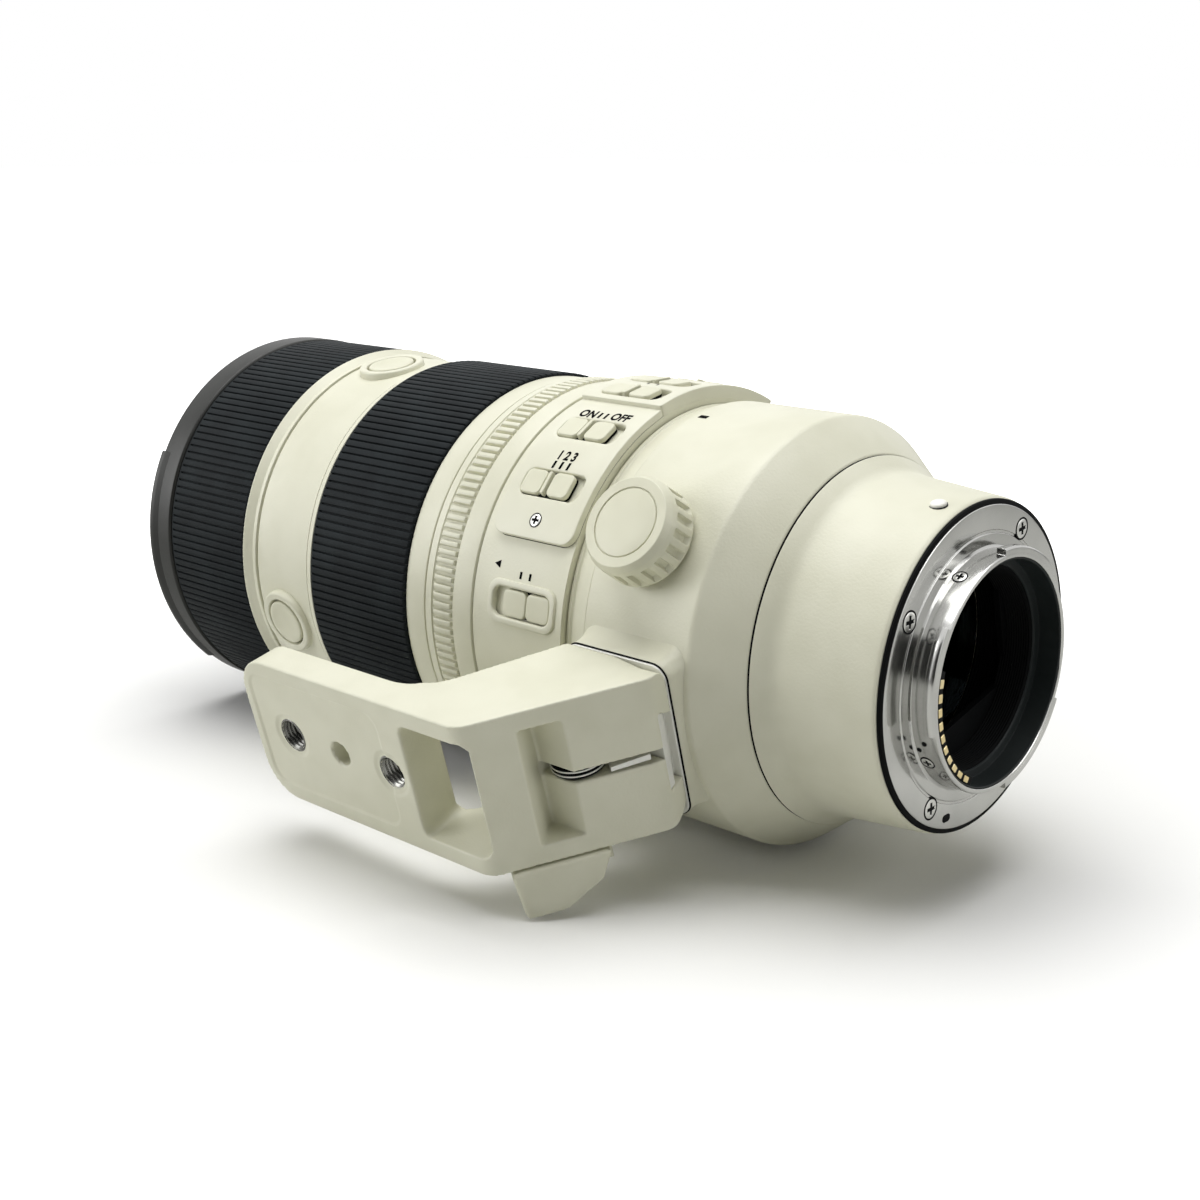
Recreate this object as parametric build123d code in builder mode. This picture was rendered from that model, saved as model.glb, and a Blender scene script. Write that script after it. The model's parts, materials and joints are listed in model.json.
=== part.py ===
from build123d import *
import math
import os

os.makedirs("parts", exist_ok=True)

# A telephoto zoom lens lying on its side, in millimetres. The optical axis is X: the camera's mount
# plane is at zero and the front of the lens is at the negative end. Z is up. Angles go round the
# axis from +Y towards +Z.

# Lengths of the outer sections along the axis
front_ring_length = 8.0
focus_ring_length = 28.1
front_band_length = 23.6
zoom_ring_length = 36.5
zoom_grip_length = 30.7
aperture_ring_length = 13.7
switch_section_length = 24.1
collar_length = 39.1
rear_barrel_length = 23.8
flange_thick = 0.8
ring_gap = 0.3

# Clearances between the pieces
running_clearance = 0.1
glue_gap = 0.05
free_gap = 0.3
overrun = 1.0

# The tubes that the sections are built on, and the walls that give the sections their radii
front_tube_radius = 40.4
front_tube_wall = 3.0
collar_bearing_drop = 5.7
main_barrel_wall = 3.7
bayonet_bore_radius = 21.2
front_ring_rise = 3.6
front_ring_wall = 5.5
focus_ring_wall = 3.3
front_band_wall = 2.0
band_rim_rise = 1.5
zoom_sleeve_wall = 1.8
zoom_grip_thick = 1.1
aperture_ring_wall = 2.5
switch_section_wall = 2.2
collar_wall = 7.7
collar_front_drop = 1.2
collar_rear_wall = 1.3
rear_barrel_rear_radius = 31.2
flange_radius = 30.2
sliding_bore_radius = front_tube_radius + running_clearance
front_bore_radius = front_tube_radius - front_tube_wall
collar_bearing_radius = front_tube_radius - collar_bearing_drop
front_ring_radius = front_tube_radius + front_ring_rise
filter_thread_radius = front_ring_radius - front_ring_wall
focus_ring_radius = sliding_bore_radius + focus_ring_wall
front_band_radius = front_tube_radius + front_band_wall
band_rim_radius = front_band_radius + band_rim_rise
zoom_sleeve_radius = sliding_bore_radius + zoom_sleeve_wall
zoom_grip_radius = zoom_sleeve_radius + zoom_grip_thick
aperture_ring_radius = sliding_bore_radius + aperture_ring_wall
switch_section_radius = front_tube_radius + switch_section_wall
main_bore_radius = collar_bearing_radius - main_barrel_wall
collar_radius = collar_bearing_radius + collar_wall
collar_front_radius = collar_radius - collar_front_drop
collar_rear_radius = collar_bearing_radius + collar_rear_wall
rear_barrel_front_radius = collar_rear_radius - running_clearance

# Directions round the axis
up_angle = 104.5
foot_angle = 194.95
quarter_turn = 90
full_turn = 360

# Places along the axis, worked out from the mount plane towards the front
rear_barrel_rear = -flange_thick
rear_barrel_front = rear_barrel_rear - rear_barrel_length
collar_rear = rear_barrel_front - ring_gap
collar_front = collar_rear - collar_length
switch_rear = collar_front - ring_gap
switch_front = switch_rear - switch_section_length
aperture_rear = switch_front - ring_gap
aperture_front = aperture_rear - aperture_ring_length
zoom_rear = aperture_front - ring_gap
zoom_front = zoom_rear - zoom_ring_length
band_rear = zoom_front - ring_gap
band_front = band_rear - front_band_length
focus_rear = band_front - ring_gap
focus_front = focus_rear - focus_ring_length
front_ring_rear = focus_front - ring_gap
front_ring_front = front_ring_rear - front_ring_length


def across(place):
    # The plane square to the axis at a place along it
    return Plane.YZ.offset(place)


def facing(place, angle, height):
    # The plane at a place along the axis that faces outwards at an angle, a height above the axis
    up = (0, math.cos(math.radians(angle)), math.sin(math.radians(angle)))
    origin = (place, height * up[1], height * up[2])
    return Plane(origin=origin, x_dir=(1, 0, 0), z_dir=up)


def ring_sketch(place, outer, inner):
    with BuildSketch(across(place)) as ring:
        Circle(outer)
        Circle(inner, mode=Mode.SUBTRACT)
    return ring.sketch


def sector_sketch(place, outer, inner, start, end):
    # Part of a ring, from one angle to another
    with BuildSketch(across(place)) as sector:
        with BuildLine():
            outside = CenterArc((0, 0), outer, start, end - start)
            inside = CenterArc((0, 0), inner, start, end - start)
            Line(outside @ 0, inside @ 0)
            Line(outside @ 1, inside @ 1)
        make_face()
    return sector.sketch


def save(piece, name):
    piece.part.label = name
    export_step(piece.part, "parts/" + name + ".step")


# The front ring, whose bore takes a screw-in filter
with BuildPart() as front_ring:
    extrude(ring_sketch(front_ring_front, front_ring_radius, filter_thread_radius), amount=front_ring_length)
save(front_ring, "front_ring")

# The front glass, seated in the mouth of the front barrel's bore
front_glass_thick = 4.0
with BuildPart() as front_element:
    with BuildSketch(across(front_ring_rear)):
        Circle(front_bore_radius - running_clearance)
    extrude(amount=front_glass_thick)
save(front_element, "front_element")

# Focus-hold buttons stand in round wells in the front band, a little over a quarter turn apart
button_radius = 5.2
button_height = 2.0
button_proud = 0.9
button_travel = 0.6
button_place = (band_front + band_rear) / 2
button_floor_gap = 0.6
button_well_depth = button_height - button_proud + button_travel + button_floor_gap
first_button_angle = 101.3
button_step = 95.1
button_angles = [first_button_angle, first_button_angle + button_step, first_button_angle + 2 * button_step]

# Zoom mechanism: round followers stand on the zoom group, slide in straight slots in the front
# barrel and are driven by helical cam slots in the zoom ring's sleeve
zoom_turn = 70
follower_radius = 1.5
cam_clearance = 0.1
follower_tip_gap = 0.3
zoom_group_inset = 6.5
zoom_group_travel = 22.0
zoom_group_wide = zoom_front + zoom_group_inset
follower_angles = [30, 150, 270]
slot_radius = follower_radius + cam_clearance
groove_end = 2.6
follower_tip_radius = zoom_sleeve_radius - follower_tip_gap

band_rim_length = 3.4

with BuildPart() as front_barrel:
    with BuildSketch(Plane.XZ):
        with BuildLine():
            Polyline(
                (front_ring_rear, front_bore_radius),
                (front_ring_rear, front_tube_radius),
                (band_front, front_tube_radius),
                (band_front, band_rim_radius),
                (band_front + band_rim_length, front_band_radius),
                (band_rear, front_band_radius),
                (band_rear, front_tube_radius),
                (switch_front, front_tube_radius),
                (switch_front, front_bore_radius),
                close=True,
            )
        make_face()
    revolve(axis=Axis.X)
    for button_angle in button_angles:
        with BuildSketch(facing(button_place, button_angle, front_band_radius - button_well_depth)):
            Circle(button_radius + free_gap)
        extrude(amount=button_well_depth + overrun, mode=Mode.SUBTRACT)
    for follower_angle in follower_angles:
        slot_middle = zoom_group_wide + zoom_group_travel / 2
        with BuildSketch(facing(slot_middle, follower_angle, front_bore_radius - overrun)):
            SlotCenterToCenter(zoom_group_travel, 2 * slot_radius)
        extrude(amount=front_tube_radius - front_bore_radius + 2 * overrun, mode=Mode.SUBTRACT)
save(front_barrel, "front_barrel")

for index, button_angle in enumerate(button_angles):
    button_top = front_band_radius + button_proud
    with BuildPart() as focus_button:
        with BuildSketch(facing(button_place, button_angle, button_top)):
            Circle(button_radius)
        extrude(amount=-button_height)
    save(focus_button, "focus_hold_button_" + str(index + 1))

# The focus ring and the zoom ring turn on the front barrel
with BuildPart() as focus_ring:
    extrude(ring_sketch(focus_front, focus_ring_radius, sliding_bore_radius), amount=focus_ring_length)
save(focus_ring, "focus_ring")

with BuildPart() as zoom_grip:
    extrude(ring_sketch(zoom_front, zoom_grip_radius, zoom_sleeve_radius + glue_gap), amount=zoom_grip_length)
save(zoom_grip, "zoom_grip")


def cam_groove():
    # A groove as wide as a follower, along the helix on which that follower moves in the turning
    # sleeve. The sleeve turns towards larger angles, so the follower falls back along it. The groove
    # runs a slot's radius past the follower's first and last places, with flat ends.
    helix = Helix(
        pitch=zoom_group_travel * full_turn / zoom_turn,
        height=zoom_group_travel + 2 * groove_end,
        radius=(sliding_bore_radius + zoom_sleeve_radius) / 2,
        center=(zoom_group_wide - groove_end, 0, 0),
        direction=(1, 0, 0),
        lefthand=True,
    )
    first = helix @ 0
    groove_depth = zoom_sleeve_radius - sliding_bore_radius + 2 * overrun
    radial = Vector(0, first.Y, first.Z).normalized()
    with BuildPart() as groove:
        with BuildSketch(Plane(origin=first, x_dir=radial, z_dir=helix % 0)):
            Rectangle(groove_depth, 2 * slot_radius)
        sweep(path=helix, is_frenet=True)
    passed = groove_end / zoom_group_travel * zoom_turn
    start_angle = math.degrees(math.atan2(first.Z, first.Y)) - passed
    return groove.part.rotate(Axis.X, -start_angle)


with BuildPart() as zoom_ring:
    extrude(ring_sketch(zoom_front, zoom_sleeve_radius, sliding_bore_radius), amount=zoom_ring_length)
    groove_cutter = cam_groove()
    for follower_angle in follower_angles:
        add(groove_cutter.rotate(Axis.X, follower_angle), mode=Mode.SUBTRACT)
save(zoom_ring, "zoom_ring")

# The zoom group is a stack of glass in its cell, with three followers on the rim
group_cell_thick = 6.0
group_cell_radius = front_bore_radius - free_gap
with BuildPart() as zoom_group:
    with BuildSketch(across(zoom_group_wide - group_cell_thick / 2)):
        Circle(group_cell_radius)
    extrude(amount=group_cell_thick)
    for follower_angle in follower_angles:
        with BuildSketch(facing(zoom_group_wide, follower_angle, group_cell_radius - overrun)):
            Circle(follower_radius)
        extrude(amount=follower_tip_radius - group_cell_radius + overrun)
save(zoom_group, "zoom_group")

# The aperture ring, and the iris blades behind it in front of the main barrel's bulkhead
with BuildPart() as aperture_ring:
    extrude(ring_sketch(aperture_front, aperture_ring_radius, sliding_bore_radius), amount=aperture_ring_length)
save(aperture_ring, "aperture_ring")

iris_stop_wall = 13.0
iris_open_radius = main_bore_radius - iris_stop_wall
blade_count = 7
blade_thick = 0.25
blade_pitch = 0.5
blade_inset = 0.4
blade_width = 6.6
blade_tip_width = 4.6
blade_hub_turn = 14
blade_pivot_inset = 4.0
blade_pivot_turn = 6
blade_pivot_hole = 0.7
blade_inner_radius = iris_open_radius + blade_inset
blade_pivot_radius = blade_inner_radius + blade_pivot_inset
blade_hub_radius = blade_inner_radius + blade_width
blade_tip_radius = blade_inner_radius + blade_tip_width
blade_step = full_turn / blade_count


def polar_point(radius, angle):
    return (radius * math.cos(math.radians(angle)), radius * math.sin(math.radians(angle)))


# Each blade is a flat sickle round the open iris, one layer in front of the last, with a round hole
# in its hub for the pin that it swings on
for index in range(blade_count):
    hub_angle = index * blade_step
    blade_rear = switch_front - free_gap - index * blade_pitch
    with BuildPart() as blade:
        with BuildSketch(across(blade_rear)):
            with BuildLine():
                Polyline(
                    polar_point(blade_inner_radius, hub_angle),
                    polar_point(blade_hub_radius, hub_angle - blade_hub_turn),
                    polar_point(blade_hub_radius, hub_angle + blade_hub_turn),
                    polar_point(blade_hub_radius, hub_angle + blade_step),
                    polar_point(blade_tip_radius, hub_angle + blade_step + blade_hub_turn),
                    polar_point(blade_inner_radius, hub_angle + blade_step),
                    polar_point(blade_inner_radius, hub_angle + blade_step / 2),
                    close=True,
                )
            make_face()
            with PolarLocations(blade_pivot_radius, 1, start_angle=hub_angle - blade_pivot_turn):
                Circle(blade_pivot_hole, mode=Mode.SUBTRACT)
        extrude(amount=-blade_thick)
    save(blade, "iris_blade_" + str(index + 1))

# The main barrel: a bulkhead behind the iris, the switch section and the bearing for the collar
bulkhead_thick = 3.0
bulkhead_rear = switch_front + bulkhead_thick

# Switch plates on the main barrel, each a raised part of a ring
lower_plate_angles = (108.8, 154.6)
lower_plate_rise = 1.5
upper_plate_angles = (62.0, 108.5)
upper_plate_rise = 2.4
lower_plate_radius = switch_section_radius + lower_plate_rise
upper_plate_radius = switch_section_radius + upper_plate_rise
plate_front_margin = 2.6
plate_front = switch_front + plate_front_margin
plate_length = switch_section_length - plate_front_margin
plate_seat_radius = switch_section_radius + glue_gap

# Sliding switches: a shallow pocket and a knob that travels in it along the axis
pocket_length = 15.5
pocket_width = 6.0
pocket_depth = 1.0
knob_length = 12.4
knob_width = 5.2
knob_proud = 0.25
knob_bar_length = 1.3
knob_bar_height = 0.3
pocket_inset = 3.0
pocket_place = plate_front + pocket_inset + pocket_length / 2
switch_travel = pocket_length - knob_length - 2 * free_gap
switches = [
    ("stabiliser_switch", 121.0, lower_plate_radius),
    ("mode_switch", 139.6, lower_plate_radius),
    ("iris_lock_switch", 171.8, switch_section_radius),
    ("focus_limit_switch", 102.1, upper_plate_radius),
    ("focus_mode_switch", 90.5, upper_plate_radius),
    ("full_time_focus_switch", 72.5, upper_plate_radius),
    ("iris_click_switch", 14.5, switch_section_radius),
]

with BuildPart() as main_barrel:
    with BuildSketch(Plane.XZ):
        with BuildLine():
            Polyline(
                (switch_front, iris_open_radius),
                (switch_front, switch_section_radius),
                (switch_rear, switch_section_radius),
                (switch_rear, collar_bearing_radius),
                (rear_barrel_front, collar_bearing_radius),
                (rear_barrel_front, main_bore_radius),
                (bulkhead_rear, main_bore_radius),
                (bulkhead_rear, iris_open_radius),
                close=True,
            )
        make_face()
    revolve(axis=Axis.X)
    for knob_name, switch_angle, surface_radius in switches:
        if surface_radius == switch_section_radius:
            with BuildSketch(facing(pocket_place, switch_angle, surface_radius - pocket_depth)):
                Rectangle(pocket_length, pocket_width)
            extrude(amount=pocket_depth + overrun, mode=Mode.SUBTRACT)
save(main_barrel, "main_barrel")

plates = [
    ("lower_switch_plate", lower_plate_radius, lower_plate_angles),
    ("upper_switch_plate", upper_plate_radius, upper_plate_angles),
]
for plate_name, plate_radius, plate_angles in plates:
    with BuildPart() as plate:
        extrude(sector_sketch(plate_front, plate_radius, plate_seat_radius, *plate_angles), amount=plate_length)
        for knob_name, switch_angle, surface_radius in switches:
            if surface_radius == plate_radius:
                with BuildSketch(facing(pocket_place, switch_angle, surface_radius - pocket_depth)):
                    Rectangle(pocket_length, pocket_width)
                extrude(amount=pocket_depth + overrun, mode=Mode.SUBTRACT)
    save(plate, plate_name)

# Each knob has a low bar across its middle. The iris lock's knob rests at the rear end of its pocket,
# and the others at the front end.
for knob_name, switch_angle, surface_radius in switches:
    knob_rest = pocket_place - switch_travel / 2
    if knob_name == "iris_lock_switch":
        knob_rest = pocket_place + switch_travel / 2
    knob_floor = surface_radius - pocket_depth + free_gap
    with BuildPart() as switch_knob:
        with BuildSketch(facing(knob_rest, switch_angle, knob_floor)):
            Rectangle(knob_length, knob_width)
        extrude(amount=pocket_depth - free_gap + knob_proud)
        with BuildSketch(facing(knob_rest, switch_angle, surface_radius + knob_proud)):
            Rectangle(knob_bar_length, knob_width)
        extrude(amount=knob_bar_height)
    save(switch_knob, knob_name)

# Behind the bulkhead the focus group slides on two rods that reach to the stabiliser's plate
rod_radius = 1.2
rod_inset = 7.0
rod_distance = main_bore_radius - rod_inset
rod_angles = [up_angle, up_angle + 2 * quarter_turn]
focus_glass_inset = 1.0
focus_glass_radius = iris_open_radius - focus_glass_inset
focus_glass_thick = 5.0
focus_travel = 14.0
focus_start_gap = 1.2
focus_end_gap = 5.8
focus_bush_wall = 2.6
focus_arm_width = 6.0
stabiliser_plate_thick = 2.5
plate_square_side = (main_bore_radius - glue_gap) * math.sqrt(2)
rod_length = focus_start_gap + focus_glass_thick + focus_travel + focus_end_gap
stabiliser_plate_front = bulkhead_rear + rod_length
stabiliser_plate_rear = stabiliser_plate_front + stabiliser_plate_thick
focus_front_place = bulkhead_rear + focus_start_gap

with BuildPart() as guide_rods:
    for rod_angle in rod_angles:
        with BuildSketch(across(bulkhead_rear)):
            with PolarLocations(rod_distance, 1, start_angle=rod_angle):
                Circle(rod_radius)
    extrude(amount=rod_length)
save(guide_rods, "guide_rods")

with BuildPart() as focus_group:
    with BuildSketch(across(focus_front_place)):
        Circle(focus_glass_radius)
        Rectangle(2 * (rod_distance + focus_bush_wall), focus_arm_width, rotation=up_angle)
        for rod_angle in rod_angles:
            with PolarLocations(rod_distance, 1, start_angle=rod_angle):
                Circle(rod_radius + running_clearance, mode=Mode.SUBTRACT)
    extrude(amount=focus_glass_thick)
save(focus_group, "focus_group")

# The stabiliser: a fixed square plate, a frame that slides one way on it and a lens that slides the other
stabiliser_lens_inset = 3.0
stabiliser_lens_radius = focus_glass_radius - stabiliser_lens_inset
stabiliser_lens_room = 1.5
stabiliser_plate_room = 2.0
stabiliser_frame_wall = 2.5
stabiliser_frame_thick = 2.0
stabiliser_cell_wall = 3.0
stabiliser_cell_thick = 2.0
stabiliser_lens_thick = 3.0
stabiliser_opening = 2 * (stabiliser_lens_radius + stabiliser_plate_room)
stabiliser_frame_opening = 2 * (stabiliser_lens_radius + stabiliser_lens_room)
stabiliser_frame_side = stabiliser_frame_opening + 2 * stabiliser_frame_wall
stabiliser_cell_side = 2 * (stabiliser_lens_radius + stabiliser_cell_wall)

with BuildPart() as stabiliser_plate:
    with BuildSketch(across(stabiliser_plate_front)):
        Rectangle(plate_square_side, plate_square_side, rotation=up_angle - quarter_turn / 2)
        Rectangle(stabiliser_opening, stabiliser_opening, rotation=up_angle - quarter_turn / 2, mode=Mode.SUBTRACT)
    extrude(amount=stabiliser_plate_thick)
save(stabiliser_plate, "stabiliser_plate")

frame_front = stabiliser_plate_rear + free_gap
with BuildPart() as stabiliser_frame:
    with BuildSketch(across(frame_front)):
        Rectangle(stabiliser_frame_side, stabiliser_frame_side, rotation=up_angle)
        Rectangle(stabiliser_frame_opening, stabiliser_frame_opening, rotation=up_angle, mode=Mode.SUBTRACT)
    extrude(amount=stabiliser_frame_thick)
save(stabiliser_frame, "stabiliser_frame")

stabiliser_lens_front = frame_front + stabiliser_frame_thick + free_gap
with BuildPart() as stabiliser_lens:
    with BuildSketch(across(stabiliser_lens_front)):
        Rectangle(stabiliser_cell_side, stabiliser_cell_side, rotation=up_angle)
    extrude(amount=stabiliser_cell_thick)
    with BuildSketch(across(stabiliser_lens_front)):
        Circle(stabiliser_lens_radius)
    extrude(amount=-stabiliser_lens_thick)
save(stabiliser_lens, "stabiliser_lens")

# The collar turns on the main barrel, and carries the foot's pad and the lock knob's boss
pad_width = 31.5
pad_inset = 5.8
pad_length = 24.0
pad_rise = 2.0
pad_corner = 3.0
knob_angle = 148.1
knob_inset = 16.9
knob_shaft_radius = 3.0
collar_bevel_length = 5.5
collar_cone_length = 8.2
collar_bore_radius = collar_bearing_radius + running_clearance
pad_height = collar_radius + pad_rise
pad_front = collar_front + pad_inset
pad_middle = pad_front + pad_length / 2
pad_rear = pad_front + pad_length
knob_place = collar_front + knob_inset


def foot_plane(side):
    # The plane of the foot's side view: X along the axis and Y away from it, at a distance to one side
    out = math.radians(foot_angle)
    sideways = Vector(0, -math.sin(out), math.cos(out))
    return Plane(origin=sideways * side, x_dir=(1, 0, 0), z_dir=sideways)


with BuildPart() as collar:
    with BuildSketch(Plane.XZ):
        with BuildLine():
            Polyline(
                (collar_front, collar_bore_radius),
                (collar_front, collar_front_radius),
                (collar_front + collar_bevel_length, collar_radius),
                (collar_rear - collar_cone_length, collar_radius),
                (collar_rear, collar_rear_radius),
                (collar_rear, collar_bore_radius),
                close=True,
            )
        make_face()
    revolve(axis=Axis.X)
    with BuildSketch(facing(pad_middle, foot_angle, collar_bearing_radius)):
        Rectangle(pad_length, pad_width)
    extrude(amount=pad_height - collar_bearing_radius)
    with BuildSketch(facing(knob_place, knob_angle, collar_bearing_radius)):
        Circle(knob_shaft_radius + running_clearance)
    extrude(amount=collar_radius, mode=Mode.SUBTRACT)
    with BuildSketch(across(collar_front - overrun)):
        Circle(collar_bore_radius)
    extrude(amount=collar_length + 2 * overrun, mode=Mode.SUBTRACT)
save(collar, "collar")

# The lock knob: a ribbed disc, on a shaft that runs through the collar down to the bearing
knob_radius = 9.7
knob_thick = 8.2
knob_base_gap = 0.6
knob_rib_count = 14
knob_rib_width = 1.5
knob_rib_depth = 0.7
knob_rib_length = 5.6
knob_base_height = collar_radius + knob_base_gap
with BuildPart() as lock_knob:
    with BuildSketch(facing(knob_place, knob_angle, knob_base_height)):
        Circle(knob_radius)
    extrude(amount=knob_thick)
    with BuildSketch(facing(knob_place, knob_angle, knob_base_height)):
        with PolarLocations(knob_radius, knob_rib_count):
            Rectangle(2 * knob_rib_depth, knob_rib_width)
    extrude(amount=knob_rib_length, mode=Mode.SUBTRACT)
save(lock_knob, "lock_knob")

with BuildPart() as lock_shaft:
    with BuildSketch(facing(knob_place, knob_angle, collar_bore_radius + free_gap)):
        Circle(knob_shaft_radius)
    extrude(amount=knob_base_height - collar_bore_radius - free_gap)
save(lock_shaft, "lock_shaft")

# The rail on the collar's pad: a thin plate with a dovetail along the axis
rail_plate_thick = 0.6
rail_plate_margin = 0.4
rail_height = 3.2
rail_foot_width = 13.0
rail_top_width = 16.0
rail_end_margin = 0.6
rail_base = pad_height + rail_plate_thick
rail_length = pad_length - 2 * rail_end_margin


def end_plane(place):
    # The plane square to the axis with X to the foot's side and Y along the foot's direction
    out = math.radians(foot_angle)
    return Plane(origin=(place, 0, 0), x_dir=(0, -math.sin(out), math.cos(out)), z_dir=(-1, 0, 0))


def dovetail_sketch(place, room):
    # The rail's section, or with some room round it the groove's
    with BuildSketch(end_plane(place)) as dovetail:
        with BuildLine():
            Polyline(
                (rail_foot_width / 2 + room, rail_base - room),
                (rail_top_width / 2 + room, rail_base + rail_height + room),
                (-rail_top_width / 2 - room, rail_base + rail_height + room),
                (-rail_foot_width / 2 - room, rail_base - room),
                close=True,
            )
        make_face()
    return dovetail.sketch


with BuildPart() as foot_rail:
    with BuildSketch(facing(pad_middle, foot_angle, pad_height)):
        RectangleRounded(pad_length - 2 * rail_plate_margin, pad_width - 2 * rail_plate_margin, pad_corner)
    extrude(amount=rail_plate_thick)
    extrude(dovetail_sketch(pad_rear - rail_end_margin, 0), amount=rail_length)
save(foot_rail, "foot_rail")

# The foot: a bent arm from the rail to a flat base, with a window through the arm, a wedge-shaped
# pocket behind it and a slit down to the groove, so that two jaws grip the rail
foot_width = 31.5
foot_gap = 0.2
foot_rear_height = 3.8
foot_reach = 31.8
foot_base_thick = 7.0
foot_length = 84.0
foot_outer_run = 20.6
foot_pad_length = 23.2
foot_inner_run = 14.2
foot_bend_radius = 5.0
foot_corner_radius = 8.0
foot_heel_radius = 3.0
foot_pad_distance = rail_base + foot_gap
foot_base_distance = foot_pad_distance + foot_reach
foot_rear = pad_rear
foot_front = foot_rear - foot_length
outer_bend = foot_rear - foot_outer_run
inner_bend = foot_rear - foot_pad_length - foot_inner_run
heel_distance = foot_pad_distance + foot_rear_height
inner_base_distance = foot_base_distance - foot_base_thick

window_width = 24.0
window_length = 17.0
window_corner = 2.0
window_height = 14.8
window_bar = 0.6
pocket_heel = 9.6
pocket_toe = 14.6
pocket_reach = 18.3
slit_width = 2.4
groove_room = 0.15
jaw_screw_inset = 13.4
jaw_screw_height = 12.0
jaw_screw_radius = 2.4
jaw_screw_cover = 2.0
thread_hole_radius = 3.175
thread_hole_spacing = 29.8
first_hole_inset = 11.5
pin_hole_radius = 2.6
base_hole_depth = 6.0
window_rear = outer_bend + window_bar
jaw_screw_place = foot_rear - jaw_screw_inset
jaw_screw_distance = foot_pad_distance + jaw_screw_height
outer_slope = (foot_base_distance - heel_distance) / foot_outer_run
base_holes = [
    (foot_front + first_hole_inset, thread_hole_radius),
    (foot_front + first_hole_inset + thread_hole_spacing / 2, pin_hole_radius),
    (foot_front + first_hole_inset + thread_hole_spacing, thread_hole_radius),
]


def on_slope(run):
    # The point of the sloping outer face that lies a run in front of the heel
    return (foot_rear - run, heel_distance + run * outer_slope)


with BuildPart() as foot:
    with BuildSketch(foot_plane(0)) as side_view:
        with BuildLine():
            Polyline(
                (foot_rear, foot_pad_distance),
                (foot_rear, heel_distance),
                (outer_bend, foot_base_distance),
                (foot_front, foot_base_distance),
                (foot_front, inner_base_distance),
                (inner_bend, inner_base_distance),
                (foot_rear - foot_pad_length, foot_pad_distance),
                close=True,
            )
        make_face()
        bends = side_view.vertices().sort_by_distance((outer_bend, foot_base_distance))[:1]
        bends += side_view.vertices().sort_by_distance((inner_bend, inner_base_distance))[:1]
        fillet(bends, foot_bend_radius)
        fillet(side_view.vertices().sort_by_distance((foot_rear, heel_distance))[:1], foot_heel_radius)
    extrude(amount=foot_width / 2, both=True)
    base_direction = facing(0, foot_angle, 0).z_dir
    fillet(foot.edges().filter_by(Axis((0, 0, 0), base_direction)).sort_by(Axis.X)[:2], foot_corner_radius)
    with BuildSketch(facing(window_rear - window_length / 2, foot_angle, foot_pad_distance + window_height)):
        RectangleRounded(window_length, window_width, window_corner)
    extrude(amount=foot_base_distance, mode=Mode.SUBTRACT)
    with BuildSketch(foot_plane(0)):
        with BuildLine():
            pocket_mouth = on_slope(pocket_heel)
            pocket_top = on_slope(pocket_toe)
            Polyline(
                pocket_mouth,
                pocket_top,
                (foot_rear - pocket_reach, pocket_mouth[1]),
                close=True,
            )
        make_face()
    extrude(amount=window_width / 2, both=True, mode=Mode.SUBTRACT)
    with BuildSketch(foot_plane(0)):
        with BuildLine():
            Polyline(
                (foot_rear + overrun, foot_pad_distance - overrun),
                (foot_rear + overrun, pocket_mouth[1] + overrun),
                (foot_rear - pocket_reach, pocket_mouth[1] + overrun),
                (foot_rear - pocket_reach, foot_pad_distance - overrun),
                close=True,
            )
        make_face()
    extrude(amount=slit_width / 2, both=True, mode=Mode.SUBTRACT)
    extrude(
        dovetail_sketch(foot_rear + overrun, groove_room),
        amount=foot_pad_length + foot_inner_run,
        mode=Mode.SUBTRACT,
    )
    with BuildSketch(foot_plane(foot_width / 2)):
        with Locations((jaw_screw_place, jaw_screw_distance)):
            Circle(jaw_screw_radius + running_clearance)
    extrude(amount=jaw_screw_cover - foot_width, mode=Mode.SUBTRACT)
    for hole_place, hole_radius in base_holes:
        with BuildSketch(facing(hole_place, foot_angle, foot_base_distance)):
            Circle(hole_radius)
        extrude(amount=-base_hole_depth, mode=Mode.SUBTRACT)
save(foot, "foot")

# The clamp screw draws the jaws together when its lever is turned
lever_gap = 0.3
screw_end_gap = 1.0
lever_base = foot_width / 2 + lever_gap
with BuildPart() as clamp_screw:
    with BuildSketch(foot_plane(lever_base)):
        with Locations((jaw_screw_place, jaw_screw_distance)):
            Circle(jaw_screw_radius)
    extrude(amount=jaw_screw_cover + screw_end_gap - foot_width - lever_gap)
save(clamp_screw, "clamp_screw")

# The lever: a round hub over the screw, and a handle beside it that lies along the foot's outer
# slope and narrows away from the foot's side
lever_hub_radius = 4.4
lever_hub_height = 4.0
lever_rise = 8.3
lever_shift = 0.7
lever_length = 19.0
lever_width = 8.0
lever_height = 9.3
lever_tip_length = 7.0
lever_tip_width = 5.0
lever_tip_inset = 1.0
side_plane = foot_plane(lever_base)
slope_angle = math.atan(outer_slope)
along_slope = side_plane.y_dir * math.sin(slope_angle) - side_plane.x_dir * math.cos(slope_angle)
out_of_slope = side_plane.x_dir * math.sin(slope_angle) + side_plane.y_dir * math.cos(slope_angle)
lever_middle = side_plane.from_local_coords((jaw_screw_place - lever_shift, jaw_screw_distance + lever_rise))
lever_end = lever_length / 2 - lever_tip_inset

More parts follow.
